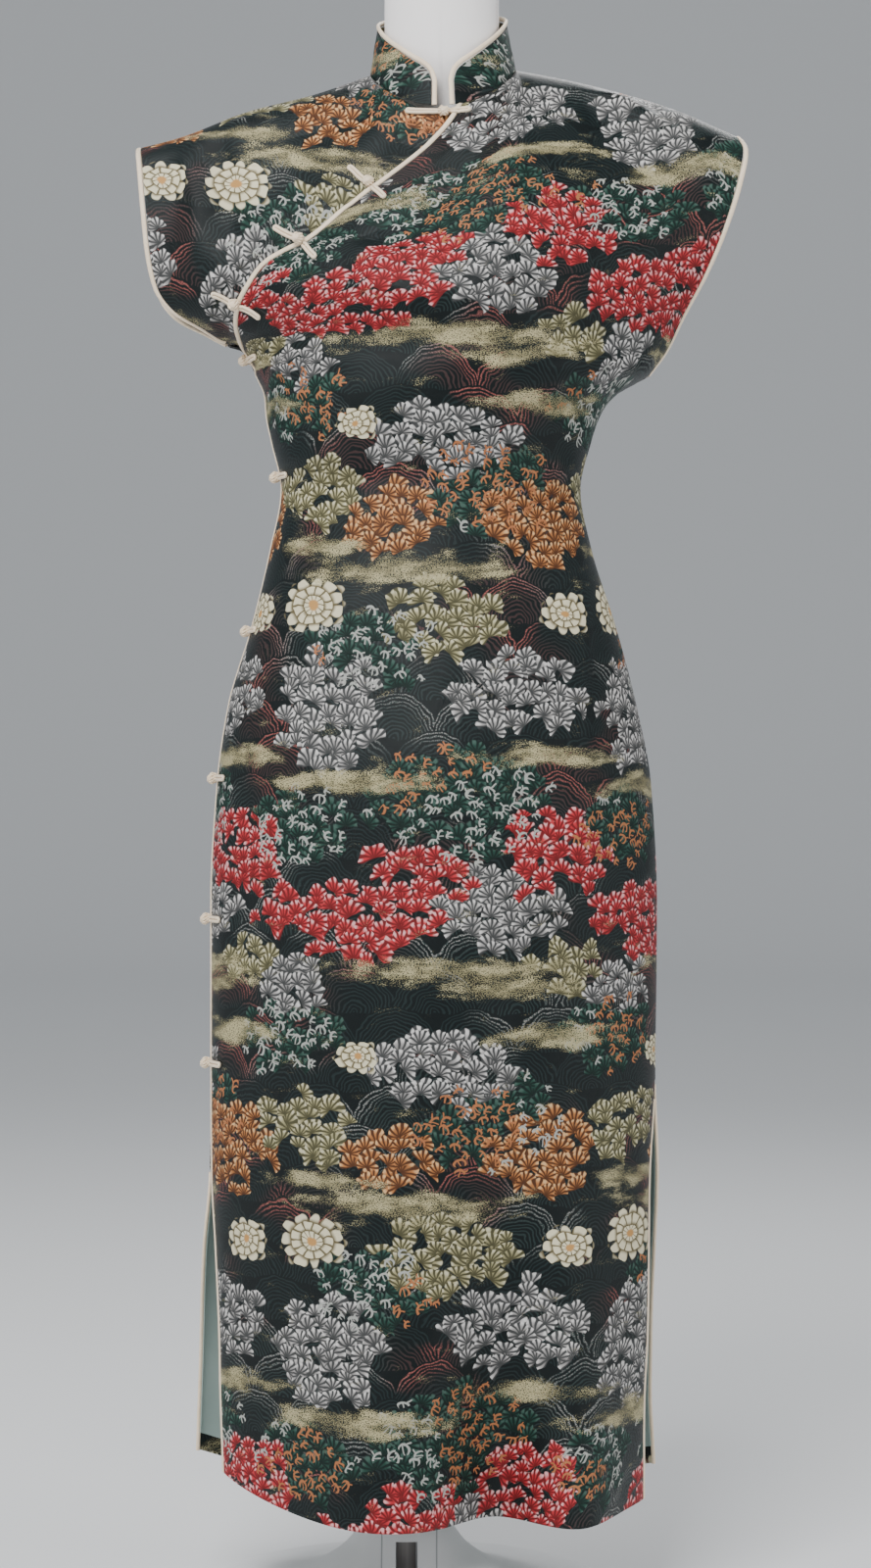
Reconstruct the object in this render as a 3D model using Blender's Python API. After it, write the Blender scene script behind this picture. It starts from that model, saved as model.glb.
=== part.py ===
"""A long fitted dress with a standing collar on a limbless form and stand."""
import math
from collections import namedtuple

import bmesh
import bpy
from mathutils import Vector
from mathutils.bvhtree import BVHTree

# Sizes in metres. The stand's axis is x = 0, the front faces -Y.
# The dress hangs a little to the right of the stand's axis.
DRESS_X = 0.0234
# The tables' heights are counted from this far below the floor.
FLOOR_Z = 0.205
WALL = 0.0015
SEAM = 0.0003
BIND_WIDE = 0.0042
BIND_HALF = 0.0012
UNDER_DROP = 0.0038
TOP_Z = 1.1845
LEFT_SLIT_Z = 0.5496
RIGHT_SLIT_Z = 0.619
NECK_X = 0.006
NECK_Y = 0.0075
NECK_HALF_X = 0.058
NECK_HALF_Y = 0.0625
NECK_Z = 1.4215
NECK_TILT = 0.0336
NECK_U = 0.14
UNDERLAP_U = 0.065

# One row per ring of the dress below the armholes.
Ring = namedtuple("Ring", "z front_left front_right back_left back_right front back")
RINGS = [
    Ring(0.280, -0.1668, 0.1650, -0.1932, 0.1772, 0.105, 0.097),
    Ring(0.313, -0.1677, 0.1650, -0.1925, 0.1763, 0.105, 0.097),
    Ring(0.374, -0.1700, 0.1652, -0.1905, 0.1735, 0.104, 0.098),
    Ring(0.430, -0.1712, 0.1675, -0.1885, 0.1742, 0.103, 0.100),
    Ring(0.490, -0.1745, 0.1680, -0.1855, 0.1763, 0.102, 0.102),
    Ring(0.549, -0.1780, 0.1700, -0.1800, 0.1778, 0.102, 0.104),
    Ring(0.626, -0.1786, 0.1747, -0.1786, 0.1750, 0.104, 0.108),
    Ring(0.766, -0.1786, 0.1763, -0.1786, 0.1763, 0.108, 0.115),
    Ring(0.860, -0.1735, 0.1716, -0.1735, 0.1716, 0.108, 0.118),
    Ring(0.922, -0.1646, 0.1600, -0.1646, 0.1600, 0.104, 0.111),
    Ring(0.985, -0.1459, 0.1435, -0.1459, 0.1435, 0.098, 0.098),
    Ring(1.047, -0.1310, 0.1240, -0.1310, 0.1240, 0.090, 0.080),
    Ring(1.094, -0.1225, 0.1154, -0.1225, 0.1154, 0.086, 0.072),
    Ring(1.132, -0.1303, 0.1240, -0.1303, 0.1240, 0.096, 0.080),
    Ring(1.1525, -0.1345, 0.1310, -0.1345, 0.1310, 0.101, 0.084),
    Ring(1.168, -0.1357, 0.1420, -0.1357, 0.1420, 0.104, 0.086),
    Ring(1.1845, -0.1427, 0.1700, -0.1427, 0.1700, 0.106, 0.088),
]

# One row per soft fold of the skirt: where it sits, how wide, how far out.
Fold = namedtuple("Fold", "side x_hem x_top z_top wide out")
FOLDS = [
    Fold("front", -0.055, -0.050, 0.62, 0.055, 0.018),
    Fold("front", 0.043, 0.048, 0.60, 0.034, -0.045),
    Fold("front", 0.118, 0.112, 0.62, 0.034, 0.040),
    Fold("back", -0.105, -0.095, 0.66, 0.040, 0.018),
    Fold("back", -0.030, -0.030, 0.62, 0.036, -0.022),
    Fold("back", 0.050, 0.045, 0.66, 0.042, 0.020),
    Fold("back", 0.125, 0.115, 0.58, 0.030, -0.010),
]

# Outlines seen from the front: x, z of the sleeve edges and shoulders.
LEFT_CUFF = [
    (-0.1427, 1.1845), (-0.1537, 1.2040), (-0.1669, 1.2087), (-0.1856, 1.2188),
    (-0.2090, 1.2320), (-0.2223, 1.2492), (-0.2285, 1.2765), (-0.2317, 1.3093),
    (-0.2348, 1.3413), (-0.2379, 1.3647),
]
RIGHT_CUFF = [
    (0.1700, 1.1845), (0.1849, 1.2040), (0.1973, 1.2289), (0.2153, 1.2617),
    (0.2293, 1.2937), (0.2418, 1.3335), (0.2465, 1.3590), (0.2418, 1.3735),
]
LEFT_SHOULDER = [
    (-0.2379, 1.3647), (-0.2028, 1.3740), (-0.1498, 1.3943), (-0.0959, 1.4083),
]
RIGHT_SHOULDER = [
    (0.1131, 1.4177), (0.1833, 1.3982), (0.2418, 1.3735),
]
# The slanted front edge: x for each z, from the armhole to the neck.
OVERLAP_EDGE = [
    (1.1800, -0.1427), (1.1845, -0.1427), (1.2040, -0.1530), (1.2180, -0.1575),
    (1.2300, -0.1555), (1.2448, -0.1475), (1.2601, -0.1356),
    (1.2676, -0.1222), (1.2738, -0.1057), (1.2779, -0.0988), (1.3171, -0.0536),
    (1.3231, -0.0453), (1.3767, 0.0107), (1.4000, 0.0220),
]
# Height of the collar's cloth for each angle from the front.
COLLAR_TOP = [
    (9.0, 1.4080), (12.0, 1.4170), (17.0, 1.4220), (30.0, 1.4300),
    (50.0, 1.4420), (90.0, 1.4636), (135.0, 1.4760), (180.0, 1.4800),
]
# The form: one row per ring.
FormRing = namedtuple("FormRing", "z left right front back")
FORM = [
    FormRing(0.690, -0.120, 0.118, 0.060, 0.066),
    FormRing(0.700, -0.145, 0.142, 0.078, 0.084),
    FormRing(0.740, -0.158, 0.155, 0.090, 0.097),
    FormRing(0.860, -0.166, 0.164, 0.101, 0.110),
    FormRing(0.922, -0.156, 0.152, 0.097, 0.103),
    FormRing(0.985, -0.138, 0.136, 0.091, 0.090),
    FormRing(1.047, -0.124, 0.117, 0.084, 0.073),
    FormRing(1.094, -0.116, 0.109, 0.080, 0.066),
    FormRing(1.140, -0.120, 0.116, 0.088, 0.073),
    FormRing(1.190, -0.128, 0.126, 0.098, 0.080),
    FormRing(1.240, -0.136, 0.140, 0.104, 0.083),
    FormRing(1.290, -0.144, 0.154, 0.090, 0.080),
    FormRing(1.330, -0.150, 0.162, 0.066, 0.070),
    FormRing(1.355, -0.150, 0.162, 0.046, 0.052),
    FormRing(1.370, -0.144, 0.156, 0.038, 0.042),
    FormRing(1.383, -0.126, 0.138, 0.033, 0.036),
    FormRing(1.395, -0.096, 0.108, 0.032, 0.037),
    FormRing(1.405, -0.066, 0.078, 0.033, 0.044),
    FormRing(1.415, -0.047, 0.059, 0.036, 0.048),
    FormRing(1.432, -0.0415, 0.0525, 0.037, 0.052),
    FormRing(1.460, -0.0405, 0.0505, 0.037, 0.054),
    FormRing(1.500, -0.0405, 0.0505, 0.037, 0.054),
    FormRing(1.532, -0.0395, 0.0495, 0.036, 0.053),
    FormRing(1.540, -0.0330, 0.0430, 0.030, 0.047),
]
# The trumpet foot: radius and height, from the top of its neck to the floor.
BASE_PROFILE = [
    (0.0212, 0.3350), (0.0216, 0.3050), (0.0260, 0.2880), (0.0370, 0.2710),
    (0.0480, 0.2565), (0.0645, 0.2440), (0.0780, 0.2370), (0.1050, 0.2300),
    (0.1350, 0.2260), (0.1600, 0.2220), (0.1670, 0.2180), (0.1680, 0.2070),
    (0.1665, 0.2050),
]
# Frogs laid on the front: end on the shoulder side, knot, end on the front.
Frog = namedtuple("Frog", "name x0 z0 xk zk x1 z1")
FRONT_FROGS = [
    Frog("neck", -0.0225, 1.3850, 0.0066, 1.3815, 0.0265, 1.3850),
    Frog("upper", -0.0670, 1.3368, -0.0512, 1.3222, -0.0392, 1.3088),
    Frog("middle", -0.1243, 1.2905, -0.1040, 1.2778, -0.0919, 1.2640),
    Frog("lower", -0.1740, 1.2425, -0.1546, 1.2335, -0.1365, 1.2227),
]
# Frogs on the left side seam: height only.
SIDE_FROGS = [
    ("armhole", 1.1970), ("waist", 1.1040), ("hip_upper", 0.9815),
    ("hip_lower", 0.8647), ("thigh_upper", 0.7530), ("thigh_lower", 0.6385),
]


def start_clean():
    """Remove what the file holds and make the two collections."""
    for thing in list(bpy.data.objects):
        bpy.data.objects.remove(thing, do_unlink=True)
    parts = bpy.data.collections.new("cheongsam_on_form")
    bpy.context.scene.collection.children.link(parts)
    return parts


def material(name, colour, rough, metal=0.0):
    mat = bpy.data.materials.new(name)
    mat.use_nodes = True
    shader = mat.node_tree.nodes["Principled BSDF"]
    shader.inputs["Base Color"].default_value = (*colour, 1.0)
    shader.inputs["Roughness"].default_value = rough
    shader.inputs["Metallic"].default_value = metal
    return mat


def smooth_value(keys, values, at):
    """A smooth curve through the table's points."""
    if at <= keys[0]:
        return values[0]
    if at >= keys[-1]:
        return values[-1]
    spot = max(i for i in range(len(keys) - 1) if keys[i] <= at)
    span = keys[spot + 1] - keys[spot]
    step = (values[spot + 1] - values[spot]) / span

    def slope(i):
        if i <= 0 or i >= len(keys) - 1:
            return step
        before = (values[i] - values[i - 1]) / (keys[i] - keys[i - 1])
        after = (values[i + 1] - values[i]) / (keys[i + 1] - keys[i])
        if before * after <= 0.0:
            return 0.0
        return 2.0 * before * after / (before + after)

    t = (at - keys[spot]) / span
    first, last = slope(spot), slope(spot + 1)
    bent = (2 * t ** 3 - 3 * t ** 2 + 1) * values[spot]
    bent += (t ** 3 - 2 * t ** 2 + t) * span * first
    bent += (-2 * t ** 3 + 3 * t ** 2) * values[spot + 1]
    return bent + (t ** 3 - t ** 2) * span * last


def ring_value(table, column, z):
    return smooth_value([row.z for row in table], [getattr(row, column) for row in table], z)


def along(points, t):
    """The point a fraction t along a list of points."""
    runs = [math.dist(a, b) for a, b in zip(points, points[1:])]
    keys = [0.0]
    for run in runs:
        keys.append(keys[-1] + run)
    want = t * keys[-1]
    return tuple(smooth_value(keys, [p[i] for p in points], want) for i in range(2))


def ease(t):
    t = min(1.0, max(0.0, t))
    return t * t * (3.0 - 2.0 * t)


def neck_point(angle):
    """The neckline: angle 0 is the front, going to the right."""
    x = NECK_X + NECK_HALF_X * math.sin(angle)
    y = NECK_Y - NECK_HALF_Y * math.cos(angle)
    z = NECK_Z - 0.026 * math.cos(angle) - 0.00725 * math.cos(2 * angle)
    return x, y, z + NECK_TILT * (x - NECK_X)


SEAM_ANGLE = math.acos(NECK_Y / NECK_HALF_Y)


def top_line(side, u):
    """x, z and neck depth of the upper edge: shoulder, neckline, shoulder."""
    if abs(u - 0.5) <= NECK_U:
        turn = (u - 0.5) / NECK_U
        angle = turn * SEAM_ANGLE
        if side == "back":
            angle = math.pi - turn * (math.pi - SEAM_ANGLE)
        x, y, z = neck_point(angle)
        return x, z, abs(y)
    end = 0.5 - NECK_U
    if u < 0.5:
        x, _, z = neck_point(-SEAM_ANGLE)
        return (*along(LEFT_SHOULDER + [(x, z)], u / end), 0.0)
    x, _, z = neck_point(SEAM_ANGLE)
    return (*along([(x, z)] + RIGHT_SHOULDER, (u - 1.0 + end) / end), 0.0)


def fold_out(side, x, z):
    """How far the soft folds push the cloth out at this place."""
    total = 0.0
    for fold in FOLDS:
        if fold.side != side or z >= fold.z_top:
            continue
        fade = (fold.z_top - z) / (fold.z_top - 0.29)
        middle = fold.x_top + (fold.x_hem - fold.x_top) * fade
        away = (x - middle) / fold.wide
        total += fold.out * math.exp(-away * away) * min(1.0, fade) ** 1.6
    return total


def hem_height(side, u):
    s = math.sin(math.pi * (u - 0.5))
    if side == "front":
        return 0.2895 + (0.028 if s < 0 else 0.007) * abs(s) ** 3
    return 0.2920 + (0.033 if s < 0 else 0.022) * abs(s) ** 3


def lower_point(side, u, t):
    """A point of the dress below the armholes; t runs from hem to armhole."""
    hem = hem_height(side, u)
    z = hem + (TOP_Z - hem) * t
    left = ring_value(RINGS, side + "_left", z)
    right = ring_value(RINGS, side + "_right", z)
    deep = ring_value(RINGS, side, z)
    turn = math.pi * (u - 0.5)
    x = (left + right) / 2 + (right - left) / 2 * math.sin(turn)
    top = LEFT_SLIT_Z if turn < 0 else RIGHT_SLIT_Z
    apart = (0.020 if side == "front" else 0.026) * ease((top - z) / 0.16)
    apart *= abs(math.sin(turn)) ** 3
    power = 1.0 + 0.3 * ease((1.0 - z) / 0.3)
    y = (deep - apart) * max(0.0, math.cos(turn)) ** power + apart
    near_edge = 1.0 - abs(math.sin(turn)) ** 8
    y += fold_out(side, x, z) * near_edge
    return x, y, z


def upper_point(side, u, v):
    """A point above the armhole ring; v runs from that ring to the top."""
    base = lower_point(side, u, 1.0)
    top = top_line(side, u)
    corner = [lower_point(side, 0.0, 1.0), lower_point(side, 1.0, 1.0)]
    crown = [top_line(side, 0.0), top_line(side, 1.0)]
    edge = [along(LEFT_CUFF, v), along(RIGHT_CUFF, v)]
    out = []
    for axis, low in ((0, 0), (1, 2)):
        value = (1 - v) * base[low] + v * top[axis]
        value += (1 - u) * edge[0][axis] + u * edge[1][axis]
        value -= (1 - v) * ((1 - u) * corner[0][low] + u * corner[1][low])
        value -= v * ((1 - u) * crown[0][axis] + u * crown[1][axis])
        out.append(value)
    turn = math.pi * (u - 0.5)
    middle = max(0.0, math.cos(turn))
    round_top = math.sqrt(max(0.0, 1.0 - v ** 4))
    shoulder = 0.055 * ease(v / 0.3) - 0.004 * middle + 0.42 * top[2]
    deep = ((1 - v) * base[1] + v * shoulder) * round_top
    deep += top[2] * (1.0 - round_top)
    swell = math.sin(math.pi * min(1.0, v / 0.85))
    if side == "front":
        cups = math.exp(-((abs(u - 0.5) - 0.15) / 0.11) ** 2)
        deep += swell * middle * (0.021 + 0.010 * cups)
    else:
        deep += swell * middle * 0.018
    return out[0], deep, out[1]


def dress_point(side, u, level):
    """level 0 to 1 is hem to armhole, 1 to 2 is armhole to the top edge."""
    if level <= 1.0:
        x, y, z = lower_point(side, u, level)
    else:
        x, y, z = upper_point(side, u, level - 1.0)
    y = max(y, 0.0) + SEAM / 2
    return Vector((x, -y if side == "front" else y, z))


def surface_normal(side, u, level):
    """Outward direction of the dress at this place."""
    step = 0.004
    u0, u1 = max(0.0, u - step), min(1.0, u + step)
    a, b = level - step, level + step
    if level <= 1.0:
        a, b = max(0.0, a), min(1.0, b)
    else:
        a, b = max(1.0, a), min(2.0, b)
    across = dress_point(side, u1, level) - dress_point(side, u0, level)
    up = dress_point(side, u, b) - dress_point(side, u, a)
    normal = across.cross(up)
    if normal.length < 1e-12:
        normal = Vector((math.copysign(1.0, u - 0.5), 0.0, 0.0))
    if side == "back":
        normal = -normal
    return normal.normalized()


def overlap_u(v):
    """Where the slanted edge crosses the row v above the armhole."""
    keys = [row[0] for row in OVERLAP_EDGE]
    values = [row[1] for row in OVERLAP_EDGE]

    def beyond(u):
        x, _, z = upper_point("front", u, v)
        return x - smooth_value(keys, values, z)

    low, high = 0.0, 0.62
    if beyond(low) >= 0.0:
        return 0.0
    for _ in range(36):
        half = (low + high) / 2
        if beyond(half) < 0.0:
            low = half
        else:
            high = half
    return (low + high) / 2


def columns(start, end, corner, count, before, blend):
    """Column places between start and end with one on the corner as blend nears 1."""
    places = []
    for i in range(count + 1):
        even = start + (end - start) * i / count
        if i <= before:
            split = start + (corner - start) * i / before
        else:
            split = corner + (end - corner) * (i - before) / (count - before)
        places.append(even + (split - even) * blend)
    return places


def cloth_grids(side, levels, places_at, drop_at=None):
    """Outer and inner points of one cut piece."""
    outer, inner = [], []
    for level in levels:
        places = places_at(level)
        out_row, in_row = [], []
        for i, u in enumerate(places):
            point = dress_point(side, u, level)
            normal = surface_normal(side, u, level)
            if level >= 2.0 and abs(u - 0.5) >= NECK_U - 1e-6:
                normal = Vector((normal.x * 0.3, 0.0, 1.0)).normalized()
            if u <= 1e-6 or u >= 1.0 - 1e-6:
                if level <= 1.0 and point.y * (-1 if side == "front" else 1) < 0.0004:
                    normal = Vector((math.copysign(1.0, u - 0.5), 0.0, 0.0))
            drop = drop_at(u, level) if drop_at else 0.0
            a = point - normal * drop
            b = point - normal * (drop + WALL)
            sign = -1.0 if side == "front" else 1.0
            for q in (a, b):
                if q.y * sign < SEAM / 2:
                    q.y = SEAM / 2 * sign
            out_row.append(a)
            in_row.append(b)
        outer.append(out_row)
        inner.append(in_row)
    return outer, inner


def pull_back(grids, rows, col, beside, far):
    """Set a bound edge back so the binding has its room."""
    for grid in grids:
        for r in rows:
            step = grid[r][beside] - grid[r][col]
            grid[r][col] = grid[r][col] + step.normalized() * min(far, step.length * 0.6)


CLOTH_TREES = []


def add_object(name, verts, faces, mat):
    if name.startswith(("front", "back_panel", "binding", "collar")):
        CLOTH_TREES.append(BVHTree.FromPolygons([Vector(v) for v in verts], faces))
    mesh = bpy.data.meshes.new(name)
    moved = [(v[0] + DRESS_X, v[1], v[2] - FLOOR_Z) for v in verts]
    mesh.from_pydata(moved, [], faces)
    work = bmesh.new()
    work.from_mesh(mesh)
    bmesh.ops.recalc_face_normals(work, faces=work.faces[:])
    work.to_mesh(mesh)
    work.free()
    mesh.materials.append(mat)
    thing = bpy.data.objects.new(name, mesh)
    PARTS.objects.link(thing)
    return thing


def solid_from_grids(name, outer, inner, mat):
    """Close an outer and an inner sheet into one body of cloth."""
    rows, cols = len(outer), len(outer[0])
    verts = [p for row in outer for p in row] + [p for row in inner for p in row]
    half = rows * cols
    faces = []
    for r in range(rows - 1):
        for c in range(cols - 1):
            a = r * cols + c
            for face in ((a, a + 1, a + cols + 1), (a, a + cols + 1, a + cols)):
                faces.append(face)
                faces.append(tuple(half + i for i in reversed(face)))
    rim = [c for c in range(cols)]
    rim += [r * cols + cols - 1 for r in range(1, rows)]
    rim += [(rows - 1) * cols + c for c in range(cols - 2, -1, -1)]
    rim += [r * cols for r in range(rows - 2, 0, -1)]
    for i, a in enumerate(rim):
        b = rim[(i + 1) % len(rim)]
        faces.append((b, a, half + a))
        faces.append((b, half + a, half + b))
    return add_object(name, verts, faces, mat)


def swept(name, frames, section, mat, side=None):
    """A body with the given section along frames of (middle, edge way, normal)."""
    count = len(section)
    verts, faces = [], []
    for i, frame in enumerate(frames):
        middle, edge, normal = frame[:3]
        size = frame[3] if len(frame) > 3 else 1.0
        for a, b in section:
            point = middle + edge * a * size + normal * b * size
            if side == "front":
                point.y = min(point.y, -SEAM / 2)
            if side == "back":
                point.y = max(point.y, SEAM / 2)
            verts.append(point)
        if i:
            for k in range(count):
                n = (k + 1) % count
                low, high = (i - 1) * count, i * count
                faces.append((low + k, low + n, high + n))
                faces.append((low + k, high + n, high + k))
    faces.append(tuple(range(count)))
    faces.append(tuple(len(verts) - 1 - k for k in range(count)))
    return add_object(name, verts, faces, mat)


BIND_OFF = 0.0007
BIND_SECTION = [
    (BIND_OFF, BIND_HALF), (SEAM + BIND_WIDE * 0.7, BIND_HALF), (SEAM + BIND_WIDE, 0.0004),
    (SEAM + BIND_WIDE, -0.0004), (SEAM + BIND_WIDE * 0.7, -BIND_HALF), (BIND_OFF, -BIND_HALF),
]


def edge_frames(outer, inner, path, beside):
    """Frames along an edge; path and beside list the grid's row and column."""
    middles = [(outer[r][c] + inner[r][c]) / 2 for r, c in path]
    frames = []
    for i, ((r, c), (rb, cb)) in enumerate(zip(path, beside)):
        before = middles[max(0, i - 1)]
        after = middles[min(len(middles) - 1, i + 1)]
        run = (after - before).normalized()
        out = outer[r][c] - inner[r][c]
        away = outer[r][c] - outer[rb][cb]
        away = (away - run * away.dot(run)).normalized()
        normal = out - run * out.dot(run) - away * out.dot(away)
        if normal.length < 1e-6:
            normal = run.cross(away)
        frames.append((middles[i], away, normal.normalized()))
    return frames


LOWER_LEVELS = [
    0.0, 0.012, 0.05, 0.10, 0.155, 0.21, 0.265, 0.275, 0.355, 0.366, 0.44, 0.51, 0.58, 0.64,
    0.70, 0.755, 0.80, 0.845, 0.885, 0.92, 0.95, 0.975, 0.99,
]
UPPER_LEVELS = [
    1.0, 1.08, 1.16, 1.23, 1.30, 1.37, 1.44, 1.51, 1.58, 1.66, 1.74, 1.81, 1.87, 1.93,
    1.975, 2.0,
]
LEFT_SLIT_ROWS = 7
RIGHT_SLIT_ROWS = 9
FRONT_COLS = 22
BACK_COLS = 20


def front_places(level):
    v = max(0.0, level - 1.0)
    start = overlap_u(v) if level > 1.0 else 0.0
    return columns(start, 1.0, 0.5 + NECK_U, FRONT_COLS, 8, v ** 3)


def back_places(level):
    v = max(0.0, level - 1.0)
    half = BACK_COLS // 2
    left = columns(0.0, 0.5, 0.5 - NECK_U, half, half - 4, v ** 3)
    right = columns(0.5, 1.0, 0.5 + NECK_U, half, 4, v ** 3)
    return left + right[1:]


def underlap_places(level):
    v = level - 1.0
    end = overlap_u(v) + UNDERLAP_U * (1.0 - 0.35 * v)
    return columns(0.0, end, 0.5 - NECK_U, 14, 9, v ** 3)


def underlap_drop(u, level):
    edge = overlap_u(level - 1.0)
    return UNDER_DROP * ease((u - edge + 0.085) / 0.05)


def build_front(silk, bind):
    levels = LOWER_LEVELS + UPPER_LEVELS
    outer, inner = cloth_grids("front", levels, front_places)
    last = FRONT_COLS
    far = BIND_WIDE + SEAM
    rows = len(levels)
    cuff_start = len(LOWER_LEVELS)
    pull_back((outer, inner), range(rows), 0, 1, far)
    pull_back((outer, inner), range(RIGHT_SLIT_ROWS), last, last - 1, far)
    pull_back((outer, inner), range(cuff_start, rows), last, last - 1, far)
    solid_from_grids("front_panel", outer, inner, silk)
    path = [(r, 0) for r in range(rows)]
    frames = edge_frames(outer, inner, path, [(r, 1) for r in range(rows)])
    top = (frames[-1][0] + frames[-2][0]) / 2
    frames[-1] = (top,) + frames[-1][1:]
    swept("binding_front_edge", frames, BIND_SECTION, bind, "front")
    path = [(r, last) for r in range(RIGHT_SLIT_ROWS)]
    beside = [(r, last - 1) for r in range(RIGHT_SLIT_ROWS)]
    frames = edge_frames(outer, inner, path, beside)
    swept("binding_slit_front_right", frames, BIND_SECTION, bind, "front")
    path = [(r, last) for r in range(cuff_start, rows)]
    beside = [(r, last - 1) for r in range(cuff_start, rows)]
    return edge_frames(outer, inner, path, beside)


def build_underlap(silk):
    outer, inner = cloth_grids("front", UPPER_LEVELS, underlap_places, underlap_drop)
    rows = range(2, len(UPPER_LEVELS))
    pull_back((outer, inner), rows, 0, 1, BIND_WIDE + SEAM)
    solid_from_grids("front_underlap", outer, inner, silk)
    path = [(r, 0) for r in rows]
    return edge_frames(outer, inner, path, [(r, 1) for r in rows])


def build_back(silk, bind):
    levels = LOWER_LEVELS + UPPER_LEVELS
    outer, inner = cloth_grids("back", levels, back_places)
    last = BACK_COLS
    far = BIND_WIDE + SEAM
    rows = len(levels)
    cuff_left = len(LOWER_LEVELS) + 2
    cuff_right = len(LOWER_LEVELS)
    both = (outer, inner)
    pull_back(both, range(LEFT_SLIT_ROWS), 0, 1, far)
    pull_back(both, range(RIGHT_SLIT_ROWS), last, last - 1, far)
    pull_back(both, range(cuff_left, rows), 0, 1, far)
    pull_back(both, range(cuff_right, rows), last, last - 1, far)
    solid_from_grids("back_panel", outer, inner, silk)
    for name, count, col, near in (
        ("binding_slit_back_left", LEFT_SLIT_ROWS, 0, 1),
        ("binding_slit_back_right", RIGHT_SLIT_ROWS, last, last - 1),
    ):
        path = [(r, col) for r in range(count)]
        beside = [(r, near) for r in range(count)]
        swept(name, edge_frames(outer, inner, path, beside), BIND_SECTION, bind, "back")
    cuffs = []
    for first, col, near in ((cuff_left, 0, 1), (cuff_right, last, last - 1)):
        path = [(r, col) for r in range(first, rows)]
        beside = [(r, near) for r in range(first, rows)]
        cuffs.append(edge_frames(outer, inner, path, beside))
    return cuffs


def build_cuff(name, front, back, bind):
    """One binding round the sleeve opening, open by a hair at the underarm."""
    tip_front, tip_back = front[-1], back[-1]
    tip = []
    for a, b in zip(tip_front, tip_back):
        tip.append((a + b) / 2)
    tip[1] = tip[1].normalized()
    tip[2] = tip[2].normalized()
    frames = front[:-1] + [tuple(tip)] + list(reversed(back[:-1]))
    swept(name, frames, BIND_SECTION, bind)


def build_lining(cloth):
    """The pale lining of the back skirt, seen through both slits."""
    levels = LOWER_LEVELS[1:11]

    def places(level):
        return back_places(level)[1:-1]

    outer, inner = cloth_grids("back", levels, places, lambda u, level: WALL + 0.0005)
    solid_from_grids("back_lining", outer, inner, cloth)


def collar_point(angle, rise):
    """rise 0 is the neckline, 1 the upper edge."""
    x, y, z = neck_point(angle)
    degrees = abs(math.degrees(angle))
    if degrees > 180.0:
        degrees = 360.0 - degrees
    top = smooth_value([r[0] for r in COLLAR_TOP], [r[1] for r in COLLAR_TOP], degrees)
    z0 = z + SEAM + 0.0004
    z1 = top + NECK_TILT * (x - NECK_X)
    height = z0 + (z1 - z0) * rise
    lean = (height - z0) / 0.05
    turn = math.sin(angle), math.cos(angle)
    wide = NECK_HALF_X - 0.0088 * lean
    deep = NECK_HALF_Y - 0.0105 * lean
    return Vector((
        NECK_X - 0.001 * lean + wide * turn[0],
        NECK_Y + 0.0015 * lean - deep * turn[1],
        height,
    ))


def build_collar(silk, bind):
    start = math.radians(9.5)
    turns = [0.0, 0.012, 0.03, 0.055] + [0.09 + 0.82 * i / 18 for i in range(19)]
    turns += [0.945, 0.97, 0.988, 1.0]
    angles = [start + (2 * math.pi - 2 * start) * t for t in turns]
    rises = [0.0, 0.35, 0.7, 1.0]
    outer = [[collar_point(a, r) for a in angles] for r in rises]
    inner = []
    for r, row in zip(rises, outer):
        line = []
        for a, p in zip(angles, row):
            way = Vector((math.sin(a), -math.cos(a), 0.0))
            line.append(p - way * WALL)
        inner.append(line)
    solid_from_grids("collar", outer, inner, silk)
    last = len(angles) - 1
    high = len(rises) - 1
    middles, aways, normals = [], [], []
    path = [(r, 0, -1.0) for r in range(high)]
    path += [(high, c, 0.0) for c in range(last + 1)]
    path += [(r, last, 1.0) for r in range(high - 1, -1, -1)]
    for r, c, end in path:
        a = angles[c]
        normals.append(Vector((math.sin(a), -math.cos(a), 0.0)))
        middles.append((outer[r][c] + inner[r][c]) / 2)
    frames = []
    for i, middle in enumerate(middles):
        before = middles[max(0, i - 1)]
        after = middles[min(len(middles) - 1, i + 1)]
        run = (after - before).normalized()
        away = run.cross(normals[i]).normalized()
        frames.append((middle, away, normals[i]))
    if frames[len(frames) // 2][1].z < 0.0:
        frames = [(m, -e, n) for m, e, n in frames]
    swept("binding_collar", frames, BIND_SECTION, bind)


def build_form(jersey):
    """The padded limbless form with its neck, finished flat on top."""
    around = 24
    verts, faces = [], []
    for k, row in enumerate(FORM):
        middle = (row.left + row.right) / 2
        half = (row.right - row.left) / 2
        for i in range(around):
            turn = 2 * math.pi * i / around
            x = middle + half * math.sin(turn)
            deep = row.front if math.cos(turn) > 0 else row.back
            y = -deep * math.cos(turn)
            tilt = NECK_TILT * (x - NECK_X) * ease((row.z - 1.2) / 0.15)
            verts.append((x, y, row.z + tilt))
        if k:
            for i in range(around):
                n = (i + 1) % around
                low, high = (k - 1) * around, k * around
                faces.append((low + i, low + n, high + n, high + i))
    faces.append(tuple(range(around)))
    faces.append(tuple(len(verts) - 1 - i for i in range(around)))
    add_object("dress_form", verts, faces, jersey)


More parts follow.
